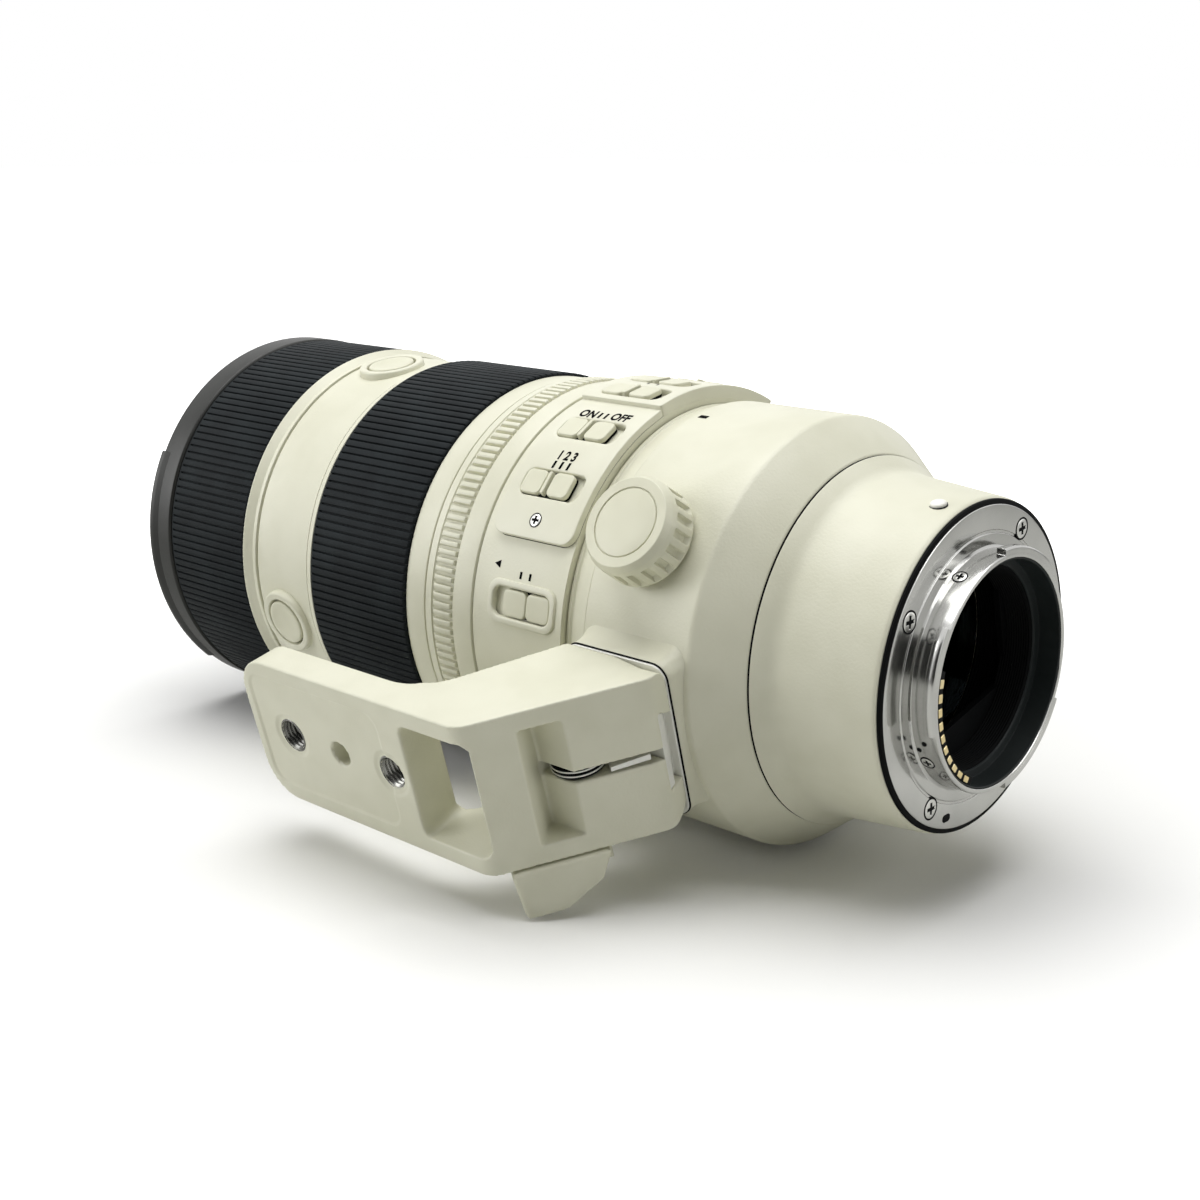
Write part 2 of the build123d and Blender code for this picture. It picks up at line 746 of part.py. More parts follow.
with BuildPart() as foot_lever:
    with BuildSketch(Plane(origin=lever_middle, x_dir=along_slope, z_dir=out_of_slope)):
        with BuildLine():
            Polyline(
                (-lever_length / 2, 0),
                (lever_length / 2, 0),
                (lever_end, lever_height),
                (lever_end - lever_tip_length, lever_height),
                close=True,
            )
        make_face()
    extrude(amount=lever_width / 2, both=True)
    with BuildSketch(Plane(origin=lever_middle, x_dir=out_of_slope, z_dir=-along_slope)):
        with BuildLine():
            Polyline(
                (-lever_width / 2, 0),
                (lever_width / 2, 0),
                (lever_width / 2, lever_height),
                (lever_width / 2 - lever_tip_width, lever_height),
                close=True,
            )
        make_face()
    extrude(amount=lever_length, both=True, mode=Mode.INTERSECT)
    with BuildSketch(side_plane):
        with Locations((jaw_screw_place, jaw_screw_distance)):
            Circle(lever_hub_radius)
    extrude(amount=lever_hub_height)
save(foot_lever, "foot_lever")

# The rear barrel tapers to the mount, and the flange with its bayonet stands on it
with BuildPart() as rear_barrel:
    with BuildSketch(Plane.XZ):
        with BuildLine():
            Polyline(
                (rear_barrel_front, bayonet_bore_radius),
                (rear_barrel_front, rear_barrel_front_radius),
                (rear_barrel_rear, rear_barrel_rear_radius),
                (rear_barrel_rear, bayonet_bore_radius),
                close=True,
            )
        make_face()
    revolve(axis=Axis.X)
save(rear_barrel, "rear_barrel")

bayonet_wall = 1.0
bayonet_tab_rise = 1.2
bayonet_depth = 5.2
bayonet_tab_thick = 1.9
bayonet_tab_angles = [(43, 94), (147, 196), (279, 335)]
bayonet_tube_radius = bayonet_bore_radius + bayonet_wall
bayonet_tab_radius = bayonet_tube_radius + bayonet_tab_rise
with BuildPart() as mount_flange:
    extrude(ring_sketch(rear_barrel_rear, flange_radius, bayonet_bore_radius), amount=flange_thick)
    extrude(ring_sketch(0, bayonet_tube_radius, bayonet_bore_radius), amount=bayonet_depth)
    for tab_angles in bayonet_tab_angles:
        tab_front = bayonet_depth - bayonet_tab_thick
        tab_section = sector_sketch(tab_front, bayonet_tab_radius, bayonet_bore_radius, *tab_angles)
        extrude(tab_section, amount=bayonet_tab_thick)
save(mount_flange, "mount_flange")

# Inside the mount: a light mask, the last glass, and the contact strip with its pins
mask_place = -6.0
mask_thick = 1.2
mask_width = 33.0
mask_height = 24.0
rear_plug_radius = bayonet_bore_radius - running_clearance
with BuildPart() as light_mask:
    with BuildSketch(across(mask_place)):
        Circle(rear_plug_radius)
        Rectangle(mask_width, mask_height, rotation=up_angle - quarter_turn, mode=Mode.SUBTRACT)
    extrude(amount=mask_thick)
save(light_mask, "light_mask")

rear_glass_thick = 5.0
rear_glass_place = -18.0
with BuildPart() as rear_element:
    with BuildSketch(across(rear_glass_place)):
        Circle(rear_plug_radius)
    extrude(amount=rear_glass_thick)
save(rear_element, "rear_element")

contact_strip_thick = 1.5
contact_strip_angles = (166, 244)
contact_strip_front = 1.0
contact_strip_rear = 4.4
contact_count = 10
first_contact_angle = 172.5
contacts_spread_angle = 65
contact_length = 1.3
contact_width = 1.1
contact_proud = 0.3
contact_strip_inner = rear_plug_radius - contact_strip_thick
contact_distance = (contact_strip_inner + rear_plug_radius) / 2
with BuildPart() as contact_strip:
    extrude(
        sector_sketch(contact_strip_front, rear_plug_radius, contact_strip_inner, *contact_strip_angles),
        amount=contact_strip_rear - contact_strip_front,
    )
save(contact_strip, "contact_strip")

with BuildPart() as contact_pins:
    with BuildSketch(across(contact_strip_rear)):
        with PolarLocations(
            contact_distance,
            contact_count,
            start_angle=first_contact_angle,
            angular_range=contacts_spread_angle,
            endpoint=True,
        ):
            Rectangle(contact_width, contact_length)
    extrude(amount=contact_proud)
save(contact_pins, "contact_pins")

# Behind the stabiliser: the circuit board, on two posts from the stabiliser's plate
board_rim = 0.602
board_width = 34.0
board_length = 16.0
board_thick = 1.2
board_distance = math.sqrt((main_bore_radius - board_rim) ** 2 - (board_width / 2) ** 2) - board_thick
board_front = stabiliser_plate_rear
with BuildPart() as circuit_board:
    with BuildSketch(facing(board_front + board_length / 2, up_angle, board_distance)):
        Rectangle(board_length, board_width)
    extrude(amount=board_thick)
save(circuit_board, "circuit_board")

# The linear motor beside the focus group: a magnet bar that reaches from the bulkhead to the plate
motor_inset = 9.0
motor_distance = main_bore_radius - motor_inset
motor_width = 14.0
motor_thick = 4.0
motor_angle = up_angle + quarter_turn
with BuildPart() as focus_motor:
    with BuildSketch(facing(bulkhead_rear + rod_length / 2, motor_angle, motor_distance)):
        Rectangle(rod_length, motor_width)
    extrude(amount=motor_thick)
save(focus_motor, "focus_motor")
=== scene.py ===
import bpy
import bmesh
import json
import math
from mathutils import Matrix, Vector, geometry


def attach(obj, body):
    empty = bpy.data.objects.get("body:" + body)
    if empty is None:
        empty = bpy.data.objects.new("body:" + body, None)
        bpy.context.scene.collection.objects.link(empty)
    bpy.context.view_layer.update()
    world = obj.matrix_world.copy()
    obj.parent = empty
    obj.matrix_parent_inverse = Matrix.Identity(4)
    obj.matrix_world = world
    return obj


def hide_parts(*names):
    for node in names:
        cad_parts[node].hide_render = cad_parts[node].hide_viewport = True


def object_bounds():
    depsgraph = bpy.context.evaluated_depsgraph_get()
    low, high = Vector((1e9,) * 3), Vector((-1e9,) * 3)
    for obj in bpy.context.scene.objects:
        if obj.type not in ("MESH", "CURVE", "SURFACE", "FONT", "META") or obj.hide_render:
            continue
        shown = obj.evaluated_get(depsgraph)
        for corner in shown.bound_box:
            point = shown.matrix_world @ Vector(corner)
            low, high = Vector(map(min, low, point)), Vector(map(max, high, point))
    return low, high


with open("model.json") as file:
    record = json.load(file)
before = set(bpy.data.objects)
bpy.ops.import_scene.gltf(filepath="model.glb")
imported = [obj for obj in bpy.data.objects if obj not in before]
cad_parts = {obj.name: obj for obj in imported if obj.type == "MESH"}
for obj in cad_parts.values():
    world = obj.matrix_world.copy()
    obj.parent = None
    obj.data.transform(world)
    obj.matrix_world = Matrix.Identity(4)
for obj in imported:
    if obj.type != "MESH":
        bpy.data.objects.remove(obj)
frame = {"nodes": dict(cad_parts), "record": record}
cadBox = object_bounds()
print("frame loaded,", len(frame["nodes"]), "nodes")

mm = 0.001
footAngle = 194.95  # the way the foot points, round the axis
topAngle = 104.5  # the way the top of the lens points


# shader helpers

class Wire:
    # a socket in a material, so that shader maths reads as plain Python
    def __init__(self, finish, socket):
        self.finish = finish
        self.socket = socket

    def math(self, operation, first, second):
        return self.finish.node("ShaderNodeMath", {"operation": operation}, {0: first, 1: second})

    def __add__(self, other):
        return self.math("ADD", self, other)

    def __sub__(self, other):
        return self.math("SUBTRACT", self, other)

    def __rsub__(self, other):
        return self.math("SUBTRACT", other, self)

    def __mul__(self, other):
        return self.math("MULTIPLY", self, other)

    __radd__ = __add__
    __rmul__ = __mul__

    def between(self, low, high):
        # 0 below low, 1 above high, smooth in between
        return self.finish.node("ShaderNodeMapRange", {"interpolation_type": "SMOOTHSTEP"},
                                {0: self, 1: low, 2: high})


class Finish:
    def __init__(self, name, constants):
        self.material = bpy.data.materials.new(name)
        self.material.use_nodes = True
        self.tree = self.material.node_tree
        self.shader = self.tree.nodes["Principled BSDF"]
        for socket, value in constants.items():
            self.shader.inputs[socket].default_value = value

    def node(self, kind, settings, sockets, output=0):
        made = self.tree.nodes.new(kind)
        for setting, value in settings.items():
            setattr(made, setting, value)
        for socket, value in sockets.items():
            if isinstance(value, Wire):
                self.tree.links.new(value.socket, made.inputs[socket])
            else:
                made.inputs[socket].default_value = value
        return Wire(self, made.outputs[output])

    def feed(self, wires):
        for socket, wire in wires.items():
            self.tree.links.new(wire.socket, self.shader.inputs[socket])

    def mix(self, mask, first, second):
        return self.node("ShaderNodeMix", {"data_type": "RGBA"}, {0: mask, 6: first, 7: second}, 2)

    def tint(self, mask, look):
        # from the look's dark colour to its light one
        return self.mix(mask, colour(look["dark"]), colour(look["light"]))

    def edgeWearHighlightTint(self, edgeWearHighlight, tone, look):
        # the look's pale edge colour, for wear and a painted highlight together, shows through where the mask
        # is high
        return self.mix(edgeWearHighlight * look["edgeWearHighlightAmount"], tone, colour(look["edgeWearHighlight"]))

    def vector(self, operation, sockets, output=0):
        return self.node("ShaderNodeVectorMath", {"operation": operation}, sockets, output)

    def place(self, stretch=(1, 1, 1)):
        # the point on the object in millimetres
        point = self.node("ShaderNodeTexCoord", {}, {}, "Object")
        return self.vector("MULTIPLY", {0: point, 1: [share / mm for share in stretch]})

    def noise(self, size, detail):
        sockets = {"Vector": self.place(), "Scale": 1 / size, "Detail": detail}
        return self.node("ShaderNodeTexNoise", {}, sockets)

    def turning(self, size):
        # fine rings left by a lathe, on faces square to the axis and on the round
        radius = self.vector("LENGTH", {0: self.place((0, 1, 1))}, "Value")
        along = self.node("ShaderNodeSeparateXYZ", {}, {0: self.place()}, "X")
        return self.node("ShaderNodeTexNoise", {"noise_dimensions": "1D"},
                         {"W": radius + along, "Scale": 1 / size, "Detail": 3})

    def edges(self, radius):
        # near 1 along sharp edges
        soft = self.node("ShaderNodeBevel", {"samples": 4}, {"Radius": radius * mm})
        flat = self.node("ShaderNodeNewGeometry", {}, {}, "Normal")
        return 1 - self.vector("DOT_PRODUCT", {0: soft, 1: flat}, "Value")

    def relief(self, height, depth, rounding):
        # shallow texture on edges that are rounded a little
        rounded = self.node("ShaderNodeBevel", {"samples": 4}, {"Radius": rounding * mm})
        sockets = {"Height": height, "Distance": depth * mm, "Normal": rounded}
        self.feed({"Normal": self.node("ShaderNodeBump", {}, sockets)})


def colour(code):
    # a colour as it looks on screen, such as e6e3d6
    parts = [int(code[start:start + 2], 16) / 255 for start in (0, 2, 4)]
    return [part / 12.92 if part <= .04045 else ((part + .055) / 1.055) ** 2.4 for part in parts] + [1]


# finishes

def paintedFinish(name, look):
    # sprayed enamel: a fine orange peel, faint unevenness, and edges paler from wear and a painted highlight
    finish = Finish(name, {"Coat Roughness": look["coatRoughness"], "Specular IOR Level": look["specular"]})
    uneven = finish.noise(look["patch"], 2).between(.3, .7)
    grain = finish.noise(look["grain"], 2)
    # paler edges: partly wear, partly a painted highlight
    edgeWearHighlight = finish.edges(.45).between(.03, .35)
    finish.feed({"Base Color": finish.edgeWearHighlightTint(edgeWearHighlight, finish.tint(uneven, look), look),
                 "Roughness": look["roughness"] + grain * .12 - edgeWearHighlight * .08,
                 "Coat Weight": look["coat"] + uneven * .05})
    finish.relief(grain, look["grainDepth"], look["rounding"])
    return finish.material


def metalFinish(name, look):
    # turned metal: rings from the lathe, faint smears, and edges brighter from wear and a painted highlight
    finish = Finish(name, {"Specular IOR Level": .5})
    rings = finish.turning(look["ringSize"])
    smear = finish.noise(look["patch"], 3)
    # brighter edges: partly wear, partly a painted highlight
    edgeWearHighlight = finish.edges(.3).between(.05, .5)
    tone = finish.tint(smear.between(.3, .7), look)
    finish.feed({"Base Color": finish.edgeWearHighlightTint(edgeWearHighlight, tone, look),
                 "Roughness": look["roughness"] + rings * .06 + smear * .03,
                 "Metallic": look["metallic"] - smear * .03})
    finish.relief(rings, look["ringDepth"], .12)
    return finish.material


def rubberFinish(name, look):
    # moulded rubber: matte grain, a little grey dust on it
    finish = Finish(name, {"Specular IOR Level": look["specular"]})
    dust = finish.noise(look["patch"], 4).between(.35, .75)
    grain = finish.noise(.3, 2)
    # paler edges: partly wear, partly a painted highlight
    edgeWearHighlight = finish.edges(.25).between(.05, .5)
    finish.feed({"Base Color": finish.edgeWearHighlightTint(edgeWearHighlight, finish.tint(dust, look), look),
                 "Roughness": look["roughness"] + grain * .15})
    finish.relief(grain, .02, .1)
    return finish.material


def glassFinish(name, look):
    # coated glass: clear, with a faint tint and the odd speck of dust
    finish = Finish(name, {"Transmission Weight": 1, "IOR": 1.52, "Coat Roughness": .02,
                           "Specular IOR Level": .2})
    specks = finish.noise(1.3, 5).between(.66, .8)
    bloom = finish.noise(16, 1)
    finish.feed({"Base Color": finish.tint(bloom, look),
                 "Roughness": .01 + specks * .15,
                 "Coat Weight": .02 + bloom * .06})
    return finish.material


# each look's edge colour is paler: it stands for wear and a painted highlight together
paintLook = {"light": "dddcc8", "dark": "d7d6c1", "edgeWearHighlight": "eae9dc", "edgeWearHighlightAmount": .4, "patch": 11, "grain": .5,
             "grainDepth": .045, "roughness": .38, "coat": .1, "coatRoughness": .3, "specular": .4,
             "rounding": .12}
panelLook = dict(paintLook, light="deddca", dark="d9d8c4", grainDepth=.014, roughness=.36, rounding=.08)
buttonLook = dict(paintLook, light="d8d7c1", dark="d2d1ba", edgeWearHighlight="e6e5d6", grain=.3, grainDepth=.012,
                  rounding=.1)
switchLook = dict(paintLook, light="dad9c3", dark="d3d2bb", edgeWearHighlight="e8e7d8", grain=.25, grainDepth=.01,
                  rounding=.07)
frontLook = dict(paintLook, light="20211e", dark="1b1c19", edgeWearHighlight="36352f", grain=.3, grainDepth=.012,
                 roughness=.36, coat=.04, specular=.3)
beadLook = dict(paintLook, light="f4f3ec", dark="eeede5", grainDepth=.003)
mountLook = {"light": "cbcbc8", "dark": "bdbdba", "edgeWearHighlight": "e6e6e4", "edgeWearHighlightAmount": .6, "patch": 14, "ringSize": .35,
             "ringDepth": .0015, "roughness": .1, "metallic": 1}
railLook = dict(mountLook, light="ecece6", dark="e2e2dc", edgeWearHighlight="f8f8f4", roughness=.35, metallic=.35)
headLook = dict(mountLook, light="dededa", dark="d0d0cc", edgeWearHighlight="f4f4f2", roughness=.25)
steelLook = dict(mountLook, light="3c3c3d", dark="2a2a2b", edgeWearHighlight="8c8c8c", roughness=.28)
threadLook = dict(mountLook, light="8a8a86", dark="5e5e5b", edgeWearHighlight="e2e2de", roughness=.2)
bladeLook = dict(mountLook, light="2c2c2d", dark="242425", edgeWearHighlight="4a4a4a", roughness=.45, metallic=.7)
goldLook = dict(mountLook, light="f2e2b4", dark="e6d29c", edgeWearHighlight="fbf3d6", roughness=.3)
rubberLook = {"light": "1c2123", "dark": "131719", "edgeWearHighlight": "2a3033", "edgeWearHighlightAmount": .3, "patch": 8,
              "roughness": .55, "specular": .1}
blackLook = dict(rubberLook, light="0b0c0d", dark="060707", edgeWearHighlight="15181a", specular=.06)
baffleLook = dict(rubberLook, light="262b2b", dark="1f2424", edgeWearHighlight="363c3c", roughness=.4, specular=.2)
boardLook = dict(rubberLook, light="1f6a3c", dark="17542f", edgeWearHighlight="3c8a58", roughness=.35, specular=.4)
inkLook = dict(rubberLook, light="0a0a0a", dark="060606", edgeWearHighlight="101010", roughness=.6, specular=.03)

finishes = {
    "cream_enamel": paintedFinish("cream enamel", paintLook),
    "cream_panel": paintedFinish("cream panel enamel", panelLook),
    "dark_satin_metal": paintedFinish("dark satin front ring", frontLook),
    "grip_rubber": rubberFinish("ribbed grip rubber", rubberLook),
    "coated_glass": glassFinish("coated glass", {"light": "e9f2ee", "dark": "d9e4ea"}),
    "blackened_blade": metalFinish("blackened blade steel", bladeLook),
    "button_grey": paintedFinish("button grey plastic", buttonLook),
    "switch_grey": paintedFinish("switch knob plastic", switchLook),
    "matte_black": rubberFinish("matte black baffle", blackLook),
    "board_green": rubberFinish("green circuit board", boardLook),
    "bright_metal": metalFinish("turned mount metal", mountLook),
    "dark_steel": metalFinish("blackened steel", steelLook),
    "gold_contact": metalFinish("gold contact", goldLook),
}
ink = rubberFinish("printed black ink", inkLook)
# the rear element's glass is tinted near black: painted shade for the dark inside of the lens behind it
darkenedRearGlass = glassFinish("rear glass darkened as painted shade", {"light": "2c3436", "dark": "22292b"})
beadWhite = paintedFinish("index bead white", beadLook)
railMetal = metalFinish("bright rail metal", railLook)
headMetal = metalFinish("bright screw head", headLook)
threadMetal = metalFinish("cut thread steel", threadLook)
baffleBlack = rubberFinish("dark baffle plastic", baffleLook)

slotOfNode = {part["node"]: part["material_slot"] for part in frame["record"]["subparts"]}
for nodeName, node in frame["nodes"].items():
    # the rear element takes the darkened glass, painted shade
    nodeLook = darkenedRearGlass if nodeName == "rear_element" else finishes[slotOfNode[nodeName]]
    for index in range(len(node.data.materials)):
        node.data.materials[index] = nodeLook
print("finishes ready")


# shape helpers, all in millimetres

def polar(place, radius, angle):
    turn = math.radians(angle)
    return Vector((place, radius * math.cos(turn), radius * math.sin(turn)))


def outward(place, angle):
    # a frame whose X points out of the barrel at an angle, from a place on the axis
    turn = math.radians(angle)
    out = Vector((0, math.cos(turn), math.sin(turn)))
    side = Vector((0, math.sin(turn), -math.cos(turn)))
    rows = [(out[axis], (1, 0, 0)[axis], side[axis], (place, 0, 0)[axis]) for axis in range(3)]
    return Matrix(rows + [(0, 0, 0, 1)])


def onBarrel(angle, radius):
    # u runs along the axis, v up round the barrel, and height outwards
    return lambda u, v, height: polar(u, radius + height, angle - math.degrees(v / radius))


def onFlat(angle, distance):
    # the same on a flat that faces outwards
    frameOut = outward(0, angle)
    return lambda u, v, height: frameOut @ Vector((distance + height, u, v))


def alongAxis(place):
    # a flat square to the axis that faces the camera body: u and v across it
    return lambda u, v, height: Vector((place + height, u, v))


def roundTo(angle, middle, radius):
    # the way up round the barrel from a middle angle to another
    return -math.radians(angle - middle) * radius


def addPiece(name, points, faces, look, body, slot=None, standsFor=(), matrix=None, crease=32):
    mesh = bpy.data.meshes.new(name)
    if matrix:
        points = [matrix @ Vector(point) for point in points]
    mesh.from_pydata([Vector(point) * mm for point in points], [], faces)
    work = bmesh.new()
    work.from_mesh(mesh)
    bmesh.ops.remove_doubles(work, verts=work.verts, dist=2e-6)
    bmesh.ops.dissolve_degenerate(work, edges=work.edges, dist=1e-7)
    bmesh.ops.recalc_face_normals(work, faces=work.faces)
    work.to_mesh(mesh)
    work.free()
    mesh.shade_smooth()
    mesh.set_sharp_from_angle(angle=math.radians(crease))
    piece = bpy.data.objects.new(name, mesh)
    bpy.context.scene.collection.objects.link(piece)
    mesh.materials.append(finishes[look] if isinstance(look, str) else look)
    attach(piece, body)
    if standsFor:
        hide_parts(*standsFor)
    return piece


def joined(*parts):
    points, faces = [], []
    for morePoints, moreFaces in parts:
        faces += [[corner + len(points) for corner in face] for face in moreFaces]
        points += [tuple(point) for point in morePoints]
    return points, faces


def softened(corners, steps=4):
    # a loop of (place, radius) corners; a third number rounds that corner
    loop = []
    for index, corner in enumerate(corners):
        here = Vector(corner[:2])
        if len(corner) < 3:
            loop.append(here)
            continue
        before = Vector(corners[index - 1][:2]) - here
        after = Vector(corners[(index + 1) % len(corners)][:2]) - here
        first = here + before.normalized() * min(corner[2], before.length * .48)
        last = here + after.normalized() * min(corner[2], after.length * .48)
        for step in range(steps + 1):
            share = step / steps
            loop.append((1 - share) ** 2 * first + 2 * share * (1 - share) * here + share ** 2 * last)
    return loop


def spun(corners, steps=256, start=0, sweep=360, closed=True):
    # a profile turned round the axis, whole or in part
    loop = softened(corners)
    whole = sweep == 360
    columns = steps if whole else steps + 1
    points = [polar(place, radius, start + sweep * column / steps)
              for column in range(columns) for place, radius in loop]
    size = len(loop)
    faces = []
    for column in range(steps):
        following = (column + 1) % columns
        for row in range(size if closed else size - 1):
            after = (row + 1) % size
            faces.append((column * size + row, following * size + row,
                          following * size + after, column * size + after))
    if not whole and closed:
        faces += [tuple(range(size)), tuple((columns - 1) * size + row for row in range(size))]
    return points, faces


def grid(rows, columns, closed=False):
    # the faces of a net of points that closes along its columns and, if asked, along its rows
    return [(row * columns + step, row * columns + (step + 1) % columns,
             (row + 1) % rows * columns + (step + 1) % columns, (row + 1) % rows * columns + step)
            for row in range(rows if closed else rows - 1) for step in range(columns)]


def ribbed(rows, count, tooth, closed=True):
    # rows of (place, crest, valley) turned round the axis; tooth is (share of the pitch, share of the height)
    points = [polar(place, valley + (crest - valley) * rise, 360 * (rib + share) / count)
              for place, crest, valley in rows for rib in range(count) for share, rise in tooth]
    return points, grid(len(rows), count * len(tooth), closed)


def roundLoop(shape, offset, pitch):
    # points round a rectangle with round corners, as (middle u, middle v, half length, half width, corner)
    middleU, middleV, halfU, halfV, corner = shape
    arcSteps = max(3, min(16, math.ceil(corner * 1.6 / .35)))
    reach = max(corner + offset, .01)
    loop = []
    for quarter, (signU, signV) in enumerate(((1, 1), (-1, 1), (-1, -1), (1, -1))):
        centre = Vector((middleU + signU * (halfU - corner), middleV + signV * (halfV - corner)))
        for step in range(arcSteps + 1):
            turn = math.radians(90 * (quarter + step / arcSteps))
            loop.append(centre + reach * Vector((math.cos(turn), math.sin(turn))))
        run = 2 * (halfU - corner if quarter in (0, 2) else halfV - corner)
        away = Vector(((-1, 0), (0, -1), (1, 0), (0, 1))[quarter])
        straight = math.ceil(run / pitch) if run > .02 else 1
        for step in range(1, straight):
            loop.append(loop[-1] + away * run / straight)
    return loop


def edgeDistance(shape, point):
    # how far a point is outside such a shape, negative inside
    middleU, middleV, halfU, halfV, corner = shape
    acrossU = abs(point[0] - middleU) - (halfU - corner)
    acrossV = abs(point[1] - middleV) - (halfV - corner)
    return math.hypot(max(acrossU, 0), max(acrossV, 0)) + min(max(acrossU, acrossV), 0) - corner


def filled(outline, holes, height, wrap, pitch):
    # a face with holes in it, in small triangles so that it follows a curve
    shape, offset = outline
    flat = []
    loops = []
    for loopShape, loopOffset in [outline] + holes:
        ring = roundLoop(loopShape, loopOffset, pitch)
        loops += [(len(flat) + step, len(flat) + (step + 1) % len(ring)) for step in range(len(ring))]
        flat += ring
    stepsU, stepsV = (max(1, round(2 * half / pitch)) for half in shape[2:4])
    for row in range(1, stepsU):
        for column in range(1, stepsV):
            point = Vector((shape[0] - shape[2] + 2 * shape[2] * row / stepsU,
                            shape[1] - shape[3] + 2 * shape[3] * column / stepsV))
            if edgeDistance(shape, point) < offset - pitch * .4 and all(
                    edgeDistance(hole, point) > holeOffset + pitch * .4 for hole, holeOffset in holes):
                flat.append(point)
    placed, _, triangles, *_ = geometry.delaunay_2d_cdt(flat, loops, [], 0, 1e-6)
    faces = []
    for triangle in triangles:
        middle = sum((placed[corner] for corner in triangle), Vector((0, 0))) / len(triangle)
        clear = all(edgeDistance(hole, middle) > holeOffset for hole, holeOffset in holes)
        if clear and edgeDistance(shape, middle) < offset:
            faces.append(tuple(triangle))
    return [wrap(point[0], point[1], height) for point in placed], faces


def bands(shape, steps, wrap, pitch):
    # walls that follow a shape from one (offset, height) to the next
    rings = [roundLoop(shape, offset, pitch) for offset, _ in steps]
    points = [wrap(point[0], point[1], height) for ring, (_, height) in zip(rings, steps) for point in ring]
    return points, grid(len(rings), len(rings[0]))


def panel(shape, edge, openings, wrap, pitch=1.2):
    # a plate with a rounded edge and sunk openings; an opening is (shape, rim steps, whether it has a floor)
    holes = [(opening, rim[0][0]) for opening, rim, _ in openings]
    parts = [bands(shape, edge, wrap, pitch), filled((shape, edge[-1][0]), holes, edge[-1][1], wrap, pitch)]
    for opening, rim, hasFloor in openings:
        parts.append(bands(opening, rim, wrap, pitch))
        if hasFloor:
            parts.append(filled((opening, rim[-1][0]), [], rim[-1][1], wrap, pitch))
    return joined(*parts)


def strokes(lines, wrap, lift):
    # printed lines, each (u, v, u, v, width)
    parts = []
    for startU, startV, endU, endV, width in lines:
        start, end = Vector((startU, startV)), Vector((endU, endV))
        side = (end - start).normalized().orthogonal() * width / 2
        pieces = max(1, math.ceil((end - start).length / .8))
        points, faces = [], []
        for step in range(pieces + 1):
            here = start.lerp(end, step / pieces)
            points += [wrap(*(here + side), lift), wrap(*(here - side), lift)]
        faces += [(2 * step, 2 * step + 1, 2 * step + 3, 2 * step + 2) for step in range(pieces)]
        parts.append((points, faces))
    return joined(*parts)


printLift = .03  # how far printed marks stand off the paint
letterStretch = 1.2  # the words are this much taller than the font


def lettering(words, wrap, lift):
    # plain words and numbers, each (text, middle u, middle v, size)
    parts = []
    for text, middleU, middleV, size in words:
        curve = bpy.data.curves.new("words", "FONT")
        curve.body = text
        curve.size = size
        curve.align_x = "CENTER"
        curve.align_y = "CENTER"
        curve.resolution_u = 4
        curve.offset = .04 * size
        holder = bpy.data.objects.new("words", curve)
        bpy.context.scene.collection.objects.link(holder)
        bpy.context.view_layer.update()
        mesh = bpy.data.meshes.new_from_object(holder.evaluated_get(bpy.context.evaluated_depsgraph_get()))
        points = [wrap(middleU + vertex.co.x, middleV + letterStretch * vertex.co.y, lift)
                  for vertex in mesh.vertices]
        parts.append((points, [tuple(face.vertices) for face in mesh.polygons]))
        bpy.data.objects.remove(holder)
    return joined(*parts)


def screwHead(radius, dome, cross):
    # a round head with a cross-shaped recess, standing on its X axis: the head, then its cross, kept apart to
    # be painted dark as shade in the recess
    rings, spokes = 14, 72
    points = [(0, 0, 0)]
    dark, bright = [], []
    for ring in range(1, rings + 1):
        share = ring / rings
        for spoke in range(spokes):
            turn = 2 * math.pi * spoke / spokes
            acrossU, acrossV = radius * share * math.cos(turn), radius * share * math.sin(turn)
            points.append((dome * (1 - share ** 6) - .1 * inCross(acrossU, acrossV, cross), acrossU, acrossV))
    points[0] = (dome - .1, 0, 0)
    for ring in range(rings):
        for spoke in range(spokes):
            first, following = 1 + (ring - 1) * spokes, (spoke + 1) % spokes
            if ring == 0:
                face = (0, 1 + spoke, 1 + following)
            else:
                face = (first + spoke, first + following, first + spokes + following, first + spokes + spoke)
            middle = [sum(points[corner][axis] for corner in face) / len(face) for axis in (1, 2)]
            # faces in the cross recess go to the dark list: painted shade
            (dark if inCross(*middle, cross) > .35 else bright).append(face)
    return (points, bright), (points, dark)


def clipped(value, top=1):
    return max(0, min(top, value))


def inCross(acrossU, acrossV, cross):
    # 1 inside a cross-shaped recess, 0 outside, sloping in between
    narrow, wide = sorted((abs(acrossU), abs(acrossV)))
    return clipped((cross * .3 - narrow) / .06) * clipped((cross - wide) / .12)


def moved(part, matrix):
    return [matrix @ Vector(point) for point in part[0]], part[1]


def darkRing(name, profile, steps=256):
    # a matte black ring that stays with the barrel
    addPiece(name, *spun(profile, steps), "matte_black", "barrel")


# front ring and front glass

